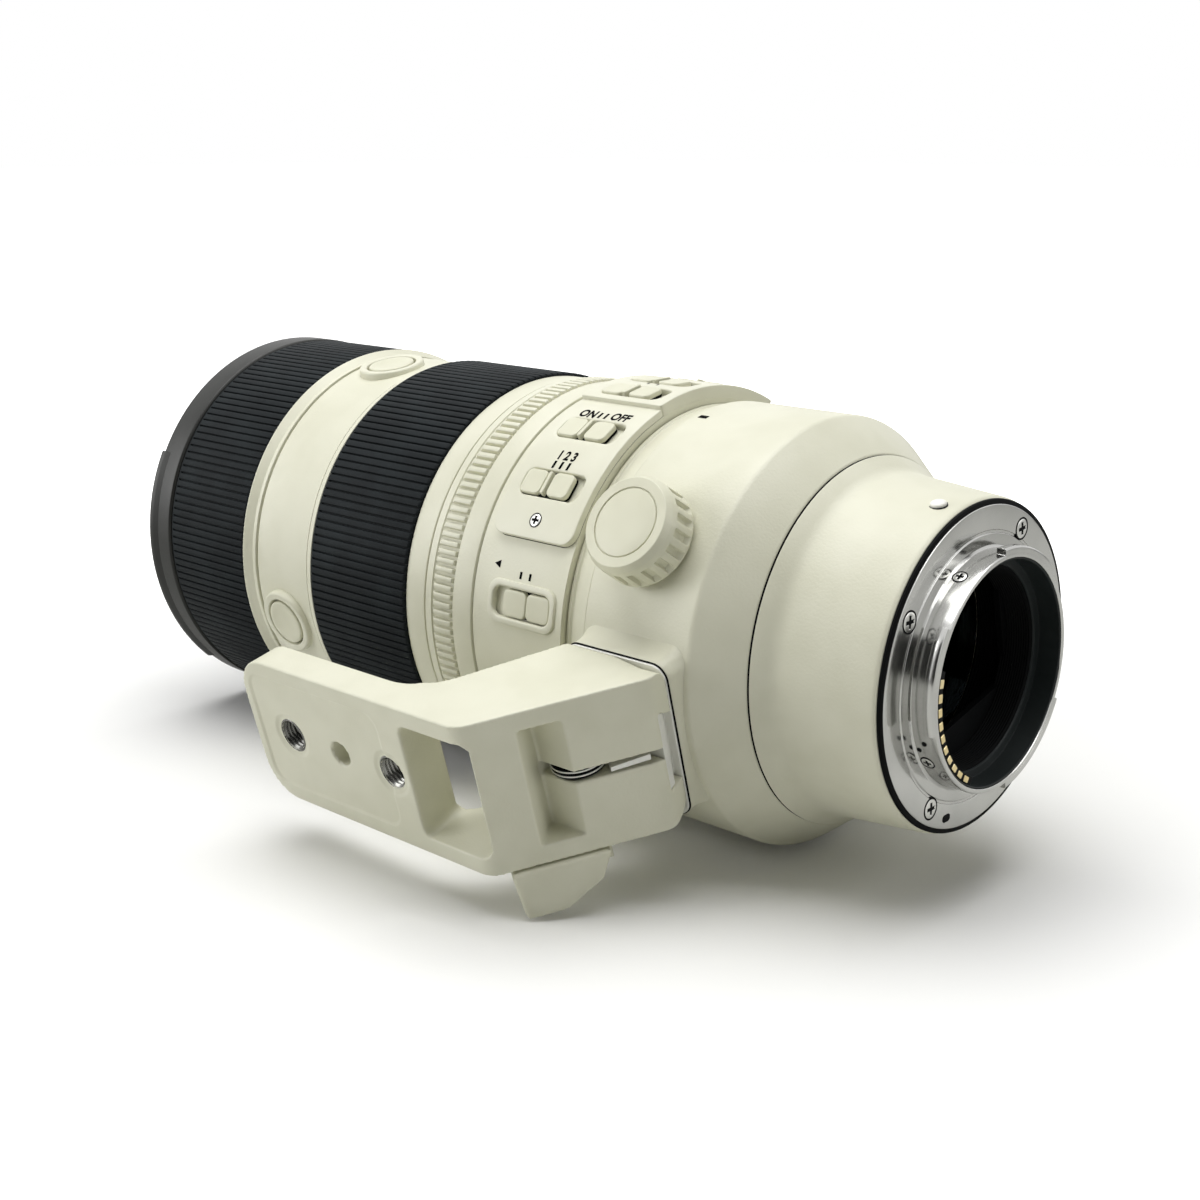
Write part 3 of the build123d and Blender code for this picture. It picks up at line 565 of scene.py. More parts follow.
frontRing = {"front": -199.8, "rear": -191.8, "radius": 44.0, "bore": 38.5, "threads": 8, "threadPitch": .75}
threadTurns = []
for turn in range(frontRing["threads"]):
    crestPlace = frontRing["rear"] - 1.0 - turn * frontRing["threadPitch"]
    threadTurns += [(crestPlace, frontRing["bore"]), (crestPlace - .37, frontRing["bore"] + .5)]
ringProfile = [(frontRing["front"], 39.8, .3), (frontRing["front"], 43.2, .5),
               (-199.3, frontRing["radius"], .5), (-192.4, frontRing["radius"], .3), (-192.1, 43.6),
               (-192.0, 43.3), (frontRing["rear"], frontRing["bore"])]
addPiece("front_ring_dressed", *spun(ringProfile + threadTurns + [(-199.0, 39.1)], 320), "dark_satin_metal",
         "barrel", standsFor=["front_ring"])
lug = [(-199.8, 43.0), (-199.8, 44.3, .3), (-199.3, 44.6, .3), (-198.4, 44.55, .4), (-196.6, 43.95),
       (-196.6, 43.0)]
addPiece("hood_lug", *spun(lug, 96, 152.5, 74), "dark_satin_metal", "barrel")
darkRing("front_gap", [(-191.95, 42.0), (-191.95, 43.35), (-191.3, 43.35), (-191.3, 42.0)])
darkRing("front_glass_retainer",
         [(-191.9, 38.3), (-193.4, 38.1, .2), (-193.6, 37.2, .2), (-192.9, 36.6), (-192.9, 35.6),
          (-192.4, 35.1), (-192.3, 34.4, .2), (-191.7, 34.2), (-191.7, 38.3)])
dome = {"rim": -191.6, "radius": 36, "rise": 3.2, "rear": -188.0}
domeRows = [(dome["rear"], 36.9), (dome["rim"], 36.9)]
for radius in range(dome["radius"], -1, -3):
    domeRows.append((dome["rim"] - dome["rise"] * (1 - (radius / dome["radius"]) ** 2), radius))
addPiece("front_glass_dome", *spun(domeRows + [(dome["rear"], 0)], 192), "coated_glass", "barrel",
         standsFor=["front_element"], crease=50)

# ribbed rubber rings

grips = {
    "focus_ring": {"front": -191.5, "rear": -163.4, "crest": 43.8, "ribs": 160, "bore": 40.5,
                   "body": "focus_ring"},
    "zoom_grip": {"front": -139.2, "rear": -108.5, "crest": 43.4, "ribs": 158, "bore": 42.35,
                  "body": "zoom_ring"},
}
# share of the pitch, share of the depth
rubberTooth = [(0, 0), (.14, 0), (.22, .85), (.3, 1), (.6, 1), (.9, .95), (.96, .8)]
ribDepth = .55
for gripName, grip in grips.items():
    crest, valley = grip["crest"], grip["crest"] - ribDepth
    lip = crest - .16
    rows = [(grip["front"], grip["bore"], grip["bore"]), (grip["front"], lip - .2, lip - .2),
            (grip["front"] + .1, lip, lip), (grip["front"] + .4, lip, lip),
            (grip["front"] + .75, crest, valley),
            (grip["rear"] - .5, crest, valley), (grip["rear"] - .25, crest - .06, valley),
            (grip["rear"], crest - .3, valley), (grip["rear"], valley - .1, valley - .1),
            (grip["rear"], grip["bore"], grip["bore"])]
    addPiece(gripName + "_ribbed", *ribbed(rows, grip["ribs"], rubberTooth), "grip_rubber", grip["body"],
             standsFor=[gripName])

# front band and focus hold buttons

band = {"radius": 42.4, "front": -163.1, "rear": -139.5, "grooveFront": -159.64, "grooveRear": -141.6,
        "buttonPlace": -151.3, "buttonAngles": [101.3, 196.4, 291.5]}
bandStart = band["grooveFront"] + .3
bandEnd = band["grooveRear"] - .22
bandShape = ((bandStart + bandEnd) / 2, 0, (bandEnd - bandStart) / 2, math.pi * band["radius"], .01)
rimFront = [(band["front"], 40.6), (band["front"], 43.85, .15), (band["front"] + .3, 43.9, .1),
            (-160.9, 42.7, .08), (-160.5, 42.75, .08), (band["grooveFront"] - .26, 42.72, .1),
            (band["grooveFront"] - .24, 41.6), (bandStart - .02, 41.6), (bandStart, 42.38)]
rimRear = [(bandEnd, 42.38), (bandEnd + .02, 41.9), (band["grooveRear"] + .14, 41.9),
           (band["grooveRear"] + .16, 42.6, .1), (-140.2, 42.6, .1), (-139.75, 43.1, .08),
           (-139.55, 43.1, .08), (band["rear"], 42.8), (band["rear"], 40.6)]
wells = []
for buttonAngle in band["buttonAngles"]:
    wellV = roundTo(buttonAngle, footAngle, band["radius"])
    wells.append(((band["buttonPlace"], wellV, 6.2, 6.2, 6.2), [(0, 0), (0, -1.0)], False))
bandSkin = panel(bandShape, [(0, 0), (0, 0)], wells, onBarrel(footAngle, band["radius"]), 1.5)
rims = [spun(rim, 360, closed=False) for rim in (rimFront, rimRear)]
addPiece("front_band", *joined(rims[0], bandSkin, rims[1]), "cream_enamel", "barrel",
         standsFor=["front_barrel"])

bezelProfile = [(40.4, 7.5), (42.3, 7.5, .2), (43.5, 7.35, .55), (43.35, 5.75, .2), (42.5, 5.6), (40.4, 5.6)]
buttonProfile = [(41.3, 0), (43.12, 0), (43.14, 2.6), (43.5, 4.3, .7), (43.42, 5.15, .35), (41.3, 5.2)]
for number, buttonAngle in enumerate(band["buttonAngles"], 1):
    buttonSeat = outward(band["buttonPlace"], buttonAngle)
    addPiece("button_bezel_%d" % number, *spun(bezelProfile, 96), "cream_enamel", "barrel", matrix=buttonSeat)
    addPiece("button_cap_%d" % number, *spun(buttonProfile, 96), "button_grey",
             "focus_hold_button_%d" % number, standsFor=["focus_hold_button_%d" % number], matrix=buttonSeat)

# the tube that carries the rings, with the three straight slots of the zoom followers
tube = {"front": -191.8, "rear": -88.4, "outer": 40.4, "inner": 37.4, "slotMiddle": -121.7, "slotHalf": 12.6,
        "slotRadius": 1.6, "slotAngles": [30, 150, 270]}
slots = []
for slotAngle in tube["slotAngles"]:
    slotV = roundTo(slotAngle, footAngle, tube["outer"])
    slots.append(((tube["slotMiddle"], slotV, tube["slotHalf"], tube["slotRadius"], tube["slotRadius"]),
                  [(0, 0), (0, tube["inner"] - tube["outer"])], False))
tubeShape = ((tube["front"] + tube["rear"]) / 2, 0, (tube["rear"] - tube["front"]) / 2,
             math.pi * tube["outer"], .01)
tubeWrap = onBarrel(footAngle, tube["outer"])
outerSkin = panel(tubeShape, [(0, 0), (0, 0)], slots, tubeWrap, 3)
innerSkin = filled((tubeShape, 0), [(slot[0], 0) for slot in slots], tube["inner"] - tube["outer"],
                   tubeWrap, 3)
tubeEnds = [spun([(place, tube["inner"]), (place, tube["outer"])], 256, closed=False)
            for place in (tube["front"], tube["rear"])]
addPiece("ring_tube", *joined(outerSkin, innerSkin, *tubeEnds), "matte_black", "barrel")
print("front built")

# zoom skirt and aperture ring

skirt = [(-108.4, 42.32), (-108.4, 42.7, .2), (-102.78, 42.7, .3), (-102.78, 42.32)]
addPiece("zoom_skirt", *spun(skirt, 360), "cream_enamel", "zoom_ring")
apertureTooth = [(0, 0), (.34, 0), (.4, .95), (.46, 1), (.84, 1), (.93, .9)]
apertureRows = [(-102.4, 40.6, 40.6), (-102.4, 42.6, 42.6), (-102.2, 42.85, 42.85), (-100.4, 42.95, 42.95),
                (-100.3, 42.7, 42.7), (-99.9, 42.7, 42.5), (-99.2, 43.4, 42.5), (-94.8, 43.45, 42.5),
                (-94.45, 43.35, 42.5), (-94.3, 42.7, 42.5), (-94.1, 42.7, 42.7), (-94.0, 42.95, 42.95),
                (-89.2, 43.0, 43.0), (-88.85, 42.9, 42.9), (-88.7, 42.6, 42.6), (-88.7, 40.6, 40.6)]
addPiece("aperture_ring_ribbed", *ribbed(apertureRows, 152, apertureTooth), "cream_enamel", "aperture_ring",
         standsFor=["aperture_ring"])

# switch plates, sliders and marks

section = {"radius": 42.6, "middle": -75.05, "halfLength": 10.7}
plates = {
    "lower_switch_plate": {"start": 105.9, "end": 154.6, "radius": 44.1, "corner": 3.0,
                           "switches": [121.0, 139.6]},
    "upper_switch_plate": {"start": 62.0, "end": 108.5, "radius": 45.0, "corner": .5,
                           "switches": [102.1, 90.5, 72.5]},
}
recess = {"halfLength": 7.75, "halfWidth": 3.0, "corner": 1.9,
          "rim": [(.35, 0), (.2, -.04), (.08, -.14), (0, -.3), (0, -.9), (0, -1.43)]}
plateEdge = [(0, -2.6), (0, -.3), (-.05, -.1), (-.14, -.02), (-.25, 0)]
for plateName, plate in plates.items():
    plate["middle"] = (plate["start"] + plate["end"]) / 2
    plate["halfArc"] = math.radians(plate["end"] - plate["start"]) / 2 * plate["radius"]
    openings = []
    for switchAngle in plate["switches"]:
        switchV = roundTo(switchAngle, plate["middle"], plate["radius"])
        openings.append(((section["middle"], switchV, recess["halfLength"], recess["halfWidth"],
                          recess["corner"]), recess["rim"], True))
    plateShape = (section["middle"], 0, section["halfLength"], plate["halfArc"], plate["corner"])
    plateWrap = onBarrel(plate["middle"], plate["radius"])
    addPiece(plateName + "_dressed", *panel(plateShape, plateEdge, openings, plateWrap, 1), "cream_panel",
             "barrel", standsFor=[plateName])

lower = plates["lower_switch_plate"]
lowerWrap = onBarrel(lower["middle"], lower["radius"])
# a matte black band round the lower plate's edge, on the section below it: painted shade in the join
plateShadeShape = (section["middle"], 0, section["halfLength"] - .15, lower["halfArc"] - .05, lower["corner"])
addPiece("lower_switch_plate_painted_shade", *bands(plateShadeShape, [(-.2, -1.44), (.2, -1.44)], lowerWrap, 1),
         "matte_black", "barrel")

irisSwitches = {"iris_lock": 171.8, "iris_click": 14.5}
lockFrame = {"halfLength": 8.95, "halfWidth": 4.3, "corner": 2.6, "height": .5}
frameTop = lockFrame["height"]
frameShape = (section["middle"], 0, lockFrame["halfLength"], lockFrame["halfWidth"], lockFrame["corner"])
frameHole = (section["middle"], 0, recess["halfLength"] - .1, recess["halfWidth"] - .05, recess["corner"])
frameEdge = [(.12, -.5), (.05, frameTop - .25), (-.06, frameTop - .06), (-.22, frameTop)]
frameRim = [(offset, frameTop + depth) for offset, depth in recess["rim"][:-1]] + [(0, -.4)]
frameOpenings = [(frameHole, frameRim, False)]
for switchName, switchAngle in irisSwitches.items():
    frameWrap = onBarrel(switchAngle, section["radius"])
    addPiece(switchName + "_frame", *panel(frameShape, frameEdge, frameOpenings, frameWrap, .8),
             "cream_panel", "barrel")

slider = {"halfLength": 6.2, "halfWidth": 2.65, "corner": 1.2, "front": -76.3, "rear": -73.8, "bar": .4,
          "groove": .5}
sliders = {"stabiliser_switch": (121.0, 44.1), "mode_switch": (139.6, 44.1),
           "iris_lock_switch": (171.8, 42.6), "focus_limit_switch": (102.1, 45.0),
           "focus_mode_switch": (90.5, 45.0), "full_time_focus_switch": (72.5, 45.0),
           "iris_click_switch": (14.5, 42.6)}  # angle and surface
# the edge of the black core under the pads, painted shade
shadeCoreEdge = [(0, -1.3), (0, -.75)]
padEdge = [(.02, -.75), (0, -.1), (-.05, .08), (-.15, .18), (-.35, .22)]
barEdge = [(.05, -.75), (0, .1), (0, .4), (-.08, .5)]
for sliderName, (sliderAngle, surface) in sliders.items():
    lockSlider = sliderName == "iris_lock_switch"
    place = slider["rear"] if lockSlider else slider["front"]
    seat = onFlat(sliderAngle, surface)
    gap = .06 if lockSlider else slider["bar"] + slider["groove"]
    halfPad = (slider["halfLength"] - gap) / 2
    # a matte black core under the pads: it shows as the dark rim round the knob's foot and in the grooves
    # beside the bar, painted shade
    shadeCore = (place, 0, slider["halfLength"], slider["halfWidth"], slider["corner"])
    addPiece(sliderName + "_core", *panel(shadeCore, shadeCoreEdge, [], seat, .8), "matte_black", sliderName)
    parts = []
    for side in (-1, 1):
        pad = (place + side * (gap + halfPad), 0, halfPad, slider["halfWidth"], slider["corner"])
        parts.append(panel(pad, padEdge, [], seat, .8))
    if not lockSlider:
        parts.append(panel((place, 0, slider["bar"], slider["halfWidth"] - .2, .2), barEdge, [], seat, .6))
    addPiece(sliderName + "_knob", *joined(*parts), "switch_grey", sliderName, standsFor=[sliderName])


def ticks(marks, plate):
    # short printed lines round the barrel, each (place, first angle, last angle, width)
    lines = []
    for place, first, last, width in marks:
        lines.append((place, roundTo(first, plate["middle"], plate["radius"]),
                      place, roundTo(last, plate["middle"], plate["radius"]), width))
    return strokes(lines, onBarrel(plate["middle"], plate["radius"]), printLift)


# each word has its place, angle and size
switchWords = [("ON", -79.4, 115.1, 2.7), ("OFF", -71.0, 114.8, 2.7), ("1", -77.3, 131.0, 2.5),
               ("2", -75.4, 131.0, 2.5), ("3", -73.5, 131.0, 2.5)]
placedWords = [(word, place, roundTo(angle, lower["middle"], lower["radius"]), size)
               for word, place, angle, size in switchWords]
switchTicks = [(place, 116.2, 113.8, .6) for place in (-76.3, -74.7)]
switchTicks += [(place, 135.1, 132.8, .62) for place in (-77.3, -75.4, -73.5)]
switchMarks = joined(lettering(placedWords, lowerWrap, printLift), ticks(switchTicks, lower))
addPiece("switch_marks", *switchMarks, ink, "barrel", slot="matte_black")
upperTicks = [(place, angle + 5.6, angle + 4.6, .4) for angle in (90.5, 72.5) for place in (-76.3, -73.8)]
addPiece("upper_switch_marks", *ticks(upperTicks, plates["upper_switch_plate"]), ink, "barrel",
         slot="matte_black")
lockTicks = [(place, 6.4, place, 5.0, .6) for place in (-76.3, -73.8)]
arrowCorners = [(-83.8, 7.0), (-82.2, 6.2), (-82.2, 7.8)]
for switchName, switchAngle in irisSwitches.items():
    markWrap = onBarrel(switchAngle, section["radius"])
    arrow = [markWrap(place, around, printLift) for place, around in arrowCorners]
    lockMarks = joined(strokes(lockTicks, markWrap, printLift), (arrow, [(0, 1, 2)]))
    addPiece(switchName + "_marks", *lockMarks, ink, "barrel", slot="matte_black")

# the small screw of the lower plate
screwFrame = outward(-75.1, 149.7)
screwSeat = Matrix.Translation((44.14, 0, 0))
plateScrew, plateCrossShade = screwHead(1.25, .12, .95)
addPiece("plate_screw", *moved(plateScrew, screwSeat), headMetal, "barrel", slot="bright_metal",
         matrix=screwFrame)
# the cross and a black ring round the head are painted shade, in the recess and in the gap round it
plateSeatShade = spun([(43.9, 1.25), (44.13, 1.25), (44.13, 1.5), (43.9, 1.5)], 48)
addPiece("plate_screw_painted_shade", *joined(moved(plateCrossShade, screwSeat), plateSeatShade), "matte_black", "barrel",
         matrix=screwFrame)

print("switches built")

# tripod collar, index dash and lock knob

collar = {"front": -64.0, "line": -58.5, "radius": 42.4, "coneStart": -33.1, "rear": -24.9, "bore": 34.9}
collarProfile = [(collar["front"], collar["bore"]), (collar["front"], 41.3, .2), (-63.2, 41.35, .1),
                 (-62.9, 41.0, .2), (collar["line"] - .2, 42.2, .1), (collar["line"] - .1, 42.05),
                 (collar["line"] + .05, 42.05), (collar["line"] + .1, collar["radius"], .05),
                 (collar["coneStart"], collar["radius"], .7), (collar["rear"] - .1, 36.05, .3),
                 (collar["rear"], 35.6), (collar["rear"], collar["bore"])]
bossShape = (-46.2, 0, 12.0, 15.75, 3.0)
bossEdge = [(1.2, -6.2), (.8, -5.2), (.4, -4.0), (.12, -2.8), (0, -1.8), (0, -.35), (-.1, -.1), (-.3, 0)]
bossWrap = onFlat(footAngle, 44.4)
addPiece("collar_turned", *joined(spun(collarProfile, 360), panel(bossShape, bossEdge, [], bossWrap, 2)),
         "cream_enamel", "collar", standsFor=["collar"])
darkRing("collar_gap", [(-24.97, 34.0), (-24.97, 35.75), (-24.55, 35.55), (-24.55, 34.0)])
indexDash = strokes([(-57.4, 0, -55.3, 0, 1.25)], onBarrel(104.9, collar["radius"]), printLift)
addPiece("collar_index", *indexDash, ink, "collar", slot="matte_black")

knob = {"place": -47.1, "angle": 148.1, "ribs": 20}
knobTooth = [(0, 0), (.42, 0), (.5, .95), (.54, 1), (.88, 1), (.94, .95)]
knobRows = [(43.0, 3, 3), (43.0, 8.9, 8.9), (43.3, 9.35, 9.35), (44.0, 9.65, 9.65), (44.2, 9.7, 9.5),
            (44.9, 9.7, 8.85), (48.4, 9.6, 8.75), (48.6, 9.55, 9.0), (48.7, 9.5, 9.5), (49.9, 9.45, 9.45),
            (50.1, 9.35, 9.35), (50.9, 8.85, 8.85), (51.1, 8.75, 8.75), (51.2, 8.6, 8.6), (51.2, 6.85, 6.85),
            (50.9, 6.8, 6.8), (50.9, 6.55, 6.55), (51.15, 6.5, 6.5), (51.2, 6.35, 6.35), (51.2, 3, 3),
            (51.2, 0, 0)]
addPiece("lock_knob_ribbed", *ribbed(knobRows, knob["ribs"], knobTooth, closed=False), "button_grey",
         "lock_knob", slot="cream_enamel", standsFor=["lock_knob"],
         matrix=outward(knob["place"], knob["angle"]))
print("collar built")

# foot

foot = {"base": 77.0, "voxel": .3, "smooth": 4, "recess": (-96.8, 0, 19.4, 12.6, 3.6), "recessDepth": .3,
        "recessSlope": .5, "threads": [-106.7, -76.9], "chamfer": 4.9, "chamferSlope": .8,
        "chamferDepth": .35, "padFace": 45.2, "halfWidth": 15.75, "heelStart": -46, "heelRun": 7,
        "lowerHeel": 6.4, "upperHeel": 2.6}
# the inner bend, where two faces of the foot meet; pairs are (along the axis, away from it)
bend = {"place": -71.6, "distance": 70, "across": (.865, -.502), "out": (-.502, -.865),
        "slopeOut": (.868, .497), "lean": .58, "radius": 14, "centre": 1.156, "halfWidth": 7, "reach": 6,
        "skin": .4}


def castCopy(name, source, voxel, smooth, look, body):
    # the node's own shape again, with the soft edges of a painted casting
    mesh = frame["nodes"][source].data.copy()
    mesh.name = name
    work = bmesh.new()
    work.from_mesh(mesh)
    bmesh.ops.remove_doubles(work, verts=work.verts, dist=1e-6)
    work.to_mesh(mesh)
    work.free()
    piece = bpy.data.objects.new(name, mesh)
    bpy.context.scene.collection.objects.link(piece)
    remesh = piece.modifiers.new("even mesh", "REMESH")
    remesh.mode = "VOXEL"
    remesh.voxel_size = voxel * mm
    soften = piece.modifiers.new("soft edges", "SMOOTH")
    soften.factor = .5
    soften.iterations = smooth
    bpy.context.view_layer.update()
    piece.data = bpy.data.meshes.new_from_object(piece.evaluated_get(bpy.context.evaluated_depsgraph_get()))
    piece.modifiers.clear()
    piece.data.materials.clear()
    piece.data.materials.append(finishes[look])
    piece.data.shade_smooth()
    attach(piece, body)
    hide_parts(source)
    return piece


castFoot = castCopy("foot_casting", "foot", foot["voxel"], foot["smooth"], "cream_enamel", "foot")
footFrame = outward(0, footAngle)
footOut = (footFrame @ Vector((1, 0, 0))).normalized()
for vertex in castFoot.data.vertices:
    point = footFrame.inverted() @ (vertex.co / mm)
    # fill the inner bend to a round
    fromBend = Vector((point[1] - bend["place"], point[0] - bend["distance"]))
    along, up = fromBend.dot(bend["across"]), fromBend.dot(bend["out"])
    depth = max(fromBend[1], bend["slopeOut"][0] * fromBend[0] + bend["slopeOut"][1] * fromBend[1])
    if abs(along) < bend["halfWidth"] and depth < bend["reach"]:
        arc = bend["radius"] * bend["centre"] - math.sqrt(bend["radius"] ** 2 - along ** 2)
        surface = bend["lean"] * abs(along)
        if depth < bend["skin"]:
            surface = max(surface, up)
        lift = (1 - max(0, depth) / bend["reach"]) * max(0, arc - surface)
        point = Vector((point[0] + bend["out"][1] * lift, point[1] + bend["out"][0] * lift, point[2]))
        vertex.co = (footFrame @ point) * mm
    # sink the recess of the base and the mouths of its threaded holes
    if point[0] > foot["base"] - .5:
        inside = -edgeDistance(foot["recess"], (point[1], point[2]))
        sunk = foot["recessDepth"] * clipped(inside / foot["recessSlope"])
        for place in foot["threads"]:
            reach = math.hypot(point[1] - place, point[2])
            sunk += foot["chamferDepth"] * clipped((foot["chamfer"] - reach) / foot["chamferSlope"])
        vertex.co -= footOut * sunk * mm
    # round the heel's edges along the pad
    heelRadius = foot["lowerHeel"] if point[2] < 0 else foot["upperHeel"]
    outside = foot["padFace"] + heelRadius - point[0]
    past = abs(point[2]) - foot["halfWidth"] + heelRadius
    if outside > 0 and past > 0 and point[1] > foot["heelStart"]:
        reach = math.hypot(outside, past)
        share = clipped((point[1] - foot["heelStart"]) / foot["heelRun"]) * max(0, 1 - heelRadius / reach)
        side = point[2] - math.copysign(past * share, point[2])
        point = Vector((point[0] + outside * share, point[1], side))
        vertex.co = (footFrame @ point) * mm

# the lever's grip: it leans out, swells in the middle and narrows to its tip
lever = {"base": 16.05, "height": 9.3, "middle": (-48.3, 65.5), "slope": math.atan(28 / 20.6),
         "gripStart": -4.2, "halfLength": 9.5, "lowerShift": 11, "upperShift": -1, "fullness": 3.4,
         "mostFullness": 1.1, "fullestHeight": .55, "setBack": 1.5, "setBackRun": 4, "hub": -7.1,
         "hubShare": .6, "end": -9.6}
castLever = castCopy("lever_casting", "foot_lever", .4, 40, "cream_enamel", "foot_lever")
for vertex in castLever.data.vertices:
    distance, place, side = footFrame.inverted() @ (vertex.co / mm)
    ahead, beyond = place - lever["middle"][0], distance - lever["middle"][1]
    along = beyond * math.sin(lever["slope"]) - ahead * math.cos(lever["slope"])
    across = ahead * math.sin(lever["slope"]) + beyond * math.cos(lever["slope"])
    height = clipped((-side - lever["base"]) / lever["height"])
    if across > lever["gripStart"]:
        low = lever["lowerShift"] * height - lever["halfLength"]
        high = lever["upperShift"] * height + lever["halfLength"]
        share = clipped((high - along) / (high - low), lever["mostFullness"])
        belly = 1 - abs(height / lever["fullestHeight"] - 1)
        along -= share * lever["fullness"] * belly
        across -= lever["setBack"] * (1 - height) * clipped(across / lever["setBackRun"] + 1)
    else:
        along = lever["hub"] + (along - lever["hub"]) * lever["hubShare"]
    along = max(along, lever["end"])
    place = lever["middle"][0] + across * math.sin(lever["slope"]) - along * math.cos(lever["slope"])
    distance = lever["middle"][1] + across * math.cos(lever["slope"]) + along * math.sin(lever["slope"])
    vertex.co = (footFrame @ Vector((distance, place, side))) * mm

for number, place in enumerate(foot["threads"], 1):
    threadProfile = [(76.35, 3.6), (76.5, 3.3)]
    for turn in range(7):
        threadProfile += [(76.2 - turn * .8, 3.15), (75.8 - turn * .8, 2.7)]
    threadProfile += [(71.0, 3.0), (71.0, 3.6)]
    addPiece("tripod_thread_%d" % number, *spun(threadProfile, 96), threadMetal, "foot", slot="dark_steel",
             matrix=outward(place, footAngle))

# the coil spring round the clamp screw, seen in the slit
spring = {"radius": 3.0, "wire": .28, "length": 2.0, "turns": 3, "steps": 96, "sides": 8}
springPoints = []
screwMiddle = Vector((-47.6, 57.2))  # place and distance
for step in range(spring["steps"] + 1):
    turn = 2 * math.pi * spring["turns"] * step / spring["steps"]
    across = spring["length"] * (step / spring["steps"] - .5)
    for side in range(spring["sides"]):
        tilt = 2 * math.pi * side / spring["sides"]
        radius = spring["radius"] + spring["wire"] * math.cos(tilt)
        springPoints.append(footFrame @ Vector((screwMiddle[1] + radius * math.sin(turn),
                                                screwMiddle[0] + radius * math.cos(turn),
                                                across + spring["wire"] * math.sin(tilt))))
addPiece("clamp_spring", springPoints, grid(spring["steps"] + 1, spring["sides"]), railMetal, "foot",
         slot="bright_metal")
clampFrame = Matrix.Translation(footFrame @ Vector((screwMiddle[1], screwMiddle[0], 0))) @ Matrix(
    [(footFrame[axis][2], footFrame[axis][1], footFrame[axis][0], 0) for axis in range(3)] + [(0, 0, 0, 1)])
addPiece("clamp_bush", *spun([(-1.0, 3.6), (-1.0, 5.0, .2), (1.0, 5.0, .2), (1.0, 3.6)], 64), "matte_black",
         "foot", matrix=clampFrame)
bushRings = [spun([(side, 4.9), (side, 5.15, .1), (side + .3, 5.15, .1), (side + .3, 4.9)], 64)
             for side in (-.55, .35)]
addPiece("clamp_rings", *joined(*bushRings), railMetal, "foot", slot="bright_metal", matrix=clampFrame)

# the rail that the foot grips: a bright plate on the pad and a dovetail with a stepped end
railShape = (-46.2, 0, 11.9, 15.65, 2.9)
railPlate = panel(railShape, [(0, 0), (0, .62), (-.08, .7)], [], bossWrap, 3)
# the sloping face where the foot's two jaws part, with the way it runs
slit = {"place": -34.2, "distance": 49, "run": (-.5926, .8055)}
boxFaces = [(0, 1, 2, 3), (4, 7, 6, 5), (0, 4, 5, 1), (1, 5, 6, 2), (2, 6, 7, 3), (3, 7, 4, 0)]


def dovetail(front, rear, low, high, halfLow, halfHigh):
    # a block along the axis whose sides lean out
    points = [footFrame @ Vector((distance, place, side)) for place in (front, rear)
              for distance, side in ((low, -halfLow), (high, -halfHigh), (high, halfHigh), (low, halfLow))]
    return points, boxFaces


def onSlope(run, side, depth):
    # a point in the slit, from the run along the jaws' sloping face and the depth under it
    stepPlace, stepOut = slit["run"]
    distance = slit["distance"] + run * stepOut + depth * stepPlace
    return footFrame @ Vector((distance, slit["place"] + run * stepPlace - depth * stepOut, side))


keyCorners = [(2.2, -.35), (9.6, -.75), (9.6, .1), (2.2, .75)]
keyPoints = [onSlope(run, side, depth) for depth in (.35, 3) for run, side in keyCorners]
addPiece("clamp_key", keyPoints, boxFaces, railMetal, "foot", slot="bright_metal")
railGap = bands(railShape, [(-.2, .1), (.22, .1), (.22, .36), (-.2, .36)], bossWrap, 3)
addPiece("rail_gap", *railGap, "matte_black", "collar")
railHead = dovetail(-57.4, -34.75, 46.9, 48.2, 7.35, 7.95)
railNeck = dovetail(-57.4, -36.2, 45.0, 46.95, 6.4, 7.3)
addPiece("foot_rail_dressed", *joined(railPlate, railHead, railNeck), railMetal, "collar",
         slot="bright_metal", standsFor=["foot_rail"])
print("foot built")

# rear barrel, gasket and mount

rearProfile = [(-24.6, 21.3), (-24.6, 35.3), (-24.5, 35.8, .15), (-21.0, 33.15, 1.6), (-2.2, 31.45, .3),
               (-1.5, 31.35, .3), (-.9, 31.0, .15), (-.85, 30.2), (-.85, 21.3)]
addPiece("rear_barrel_turned", *spun(rearProfile, 360), "cream_enamel", "barrel", standsFor=["rear_barrel"])
beadFrame = outward(-5.1, topAngle)
addPiece("index_bead", *spun([(31.2, 1.5), (32.2, 1.5, .25), (32.45, 1.0, .3), (32.5, 0), (31.2, 0)], 48),
         beadWhite, "barrel", slot="button_grey", matrix=beadFrame)
# a dark ring round the bead's foot: painted shadow
addPiece("index_bead_painted_shadow", *spun([(31.2, 1.5), (31.8, 1.52), (31.8, 1.68), (31.2, 1.7)], 48), baffleBlack,
         "barrel", slot="matte_black", matrix=beadFrame)
darkRing("mount_gasket", [(-.84, 29.9), (-.84, 31.0, .1), (-.25, 31.0, .25), (-.1, 30.15)])

